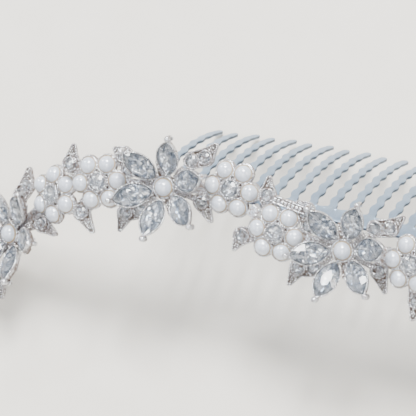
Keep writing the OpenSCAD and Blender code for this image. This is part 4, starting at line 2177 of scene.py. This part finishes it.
@dataclass(frozen=True)
class Studio:
    """Camera, lights and floor.

    The camera's direction is given in the comb's own frame, as the photo shows the comb: turned
    to the right of it, above it, and rolled a little.

    Attributes:
        to_right: Angle of the camera to the comb's right.
        above: Angle of the camera above the comb.
        roll: Roll of the picture.
        aim: Point at the picture's middle, right and up from the middle flower, in millimetres.
        width: Width of the view there, in millimetres.
        distance: Distance of the camera in metres.
        sensor: Width of the camera's sensor in millimetres.
        light_aim: Point that the lights face, in metres.
        lights: The soft boxes: two broad ones, two fills and three small ones for glints.
        sky: Colour and strength of the even light from all round.
        floor_half: Half the floor's side, in millimetres.
        floor_cells: Faces along the floor's side.
        floor_drop: How far the floor is under the piece, in millimetres.
    """

    to_right: float = 18.6
    above: float = 30.3
    roll: float = -3.4
    aim: tuple[float, float] = (-25.57, 8.24)
    width: float = 79.7
    distance: float = 1.1
    sensor: float = 36.0
    light_aim: Point = (-0.01, 0.0, 0.02)
    lights: tuple[SoftBox, ...] = (
        SoftBox("key", (0.02, 0.37, 0.93), 0.8, 0.3, 17.0),
        SoftBox("sky", (-0.6, -0.5, 0.8), 1.0, 0.9, 5.0, "F2F6FF"),
        SoftBox("front", (0.3, -0.8, 0.5), 1.0, 0.5, 4.0),
        SoftBox("side", (0.9, 0.1, 0.5), 1.0, 0.3, 4.0, "FFF6EC"),
        SoftBox("strip", (-0.8, 0.3, 0.6), 0.9, 0.15, 4.0),
        SoftBox("near_spark", (0.25, -0.45, 0.86), 0.9, 0.15, 3.5),
        SoftBox("far_spark", (-0.25, 0.75, 0.6), 0.9, 0.12, 3.0),
    )
    sky: tuple[str, float] = ("E8ECF1", 0.5)
    floor_half: float = 1500.0
    floor_cells: int = 8
    floor_drop: float = 0.02

    def axes(self, rest: Rest) -> Array:
        """Right, up and forward of the picture, for the piece at rest.

        Args:
            rest: How the piece lies.

        Returns:
            The three directions, a row each.
        """
        t = math.radians(self.to_right)
        e = math.radians(self.above)
        right = np.array([math.cos(t), math.sin(t), 0.0])
        up = np.array([-math.sin(t) * math.sin(e), math.cos(t) * math.sin(e), math.cos(e)])
        spin = math.radians(self.roll)
        axes = np.array([
            right * math.cos(spin) - up * math.sin(spin),
            right * math.sin(spin) + up * math.cos(spin),
            np.cross(up, right),
        ])
        return axes @ rest.matrix()[:3, :3].T

    def place_camera(self, rest: Rest) -> None:
        """Puts the camera in the scene.

        Args:
            rest: How the piece lies.
        """
        right, up, forward = self.axes(rest)
        aim = (rest.matrix()[:3, 3] + right * self.aim[0] + up * self.aim[1]) * TO_METRES
        lens = bpy.data.cameras.new("camera")
        lens.sensor_width = self.sensor
        lens.lens = self.sensor * self.distance / (self.width * TO_METRES)
        camera = bpy.data.objects.new("camera", lens)
        camera.matrix_world = facing(aim - forward * self.distance, forward, up)
        bpy.context.scene.collection.objects.link(camera)
        bpy.context.scene.camera = camera

    def place_floor(self) -> None:
        """Puts down a pale sheet of paper: a flat grid of square faces."""
        count = self.floor_cells
        side = np.linspace(-self.floor_half, self.floor_half, count + 1)
        x, y = np.meshgrid(side, side)
        points = lifted(np.column_stack([x.ravel(), y.ravel()]), -self.floor_drop)
        row, column = np.meshgrid(np.arange(count), np.arange(count))
        corner = (row * (count + 1) + column).ravel()
        faces = np.stack([corner, corner + 1, corner + count + 2, corner + count + 1], axis=-1)
        Shell.of(points, faces).to_piece("floor", [PalePaper().make()])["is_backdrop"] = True

    def place_light(self) -> None:
        """Puts in the soft boxes and an even pale sky."""
        world = bpy.data.worlds.new("studio")
        world.use_nodes = True
        world.node_tree.nodes.clear()
        colour, strength = self.sky
        sky = add(world.node_tree, "Background", {"Color": linear(colour), "Strength": strength})
        add(world.node_tree, "OutputWorld", links={"Surface": sky})
        bpy.context.scene.world = world
        for light in self.lights:
            light.place(self.light_aim)


def corners(box: Sequence[Sequence[float]]) -> list[list[float]]:
    """A box's two corners as plain lists of numbers."""
    return [[float(v) for v in corner] for corner in box]


def main() -> dict[str, list[list[float]]]:
    """Builds the whole scene.

    Returns:
        The boxes of the solid model and of the dressed one, in metres.
    """
    logging.basicConfig(level=logging.INFO, format="%(message)s")
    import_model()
    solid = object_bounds()
    rest = Rest()
    studio = Studio()
    studio.place_camera(rest)
    studio.place_light()
    studio.place_floor()
    finishes = Finishes.made()
    fitter = Fitter(rest)
    for unit in UNITS:
        casting = FlowerCasting(unit).on_face().carried(unit.matrix())
        if unit.middle:
            casting = Shell.joined([casting, CombLug().shell()])
        fitter.fit(casting, np.eye(4), f"casting_{unit.name}", finishes.casting)
    fitter.fit(StampedComb().shell(), np.eye(4), "comb", finishes.comb)
    jewels = JewelSet()
    for unit in UNITS:
        jewels.fit_unit(unit, fitter, finishes)
    jewels.fit_round(fitter, finishes)
    return {"cad": corners(solid), "visual": corners(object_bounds())}


if __name__ == "__main__":
    sizes = main()
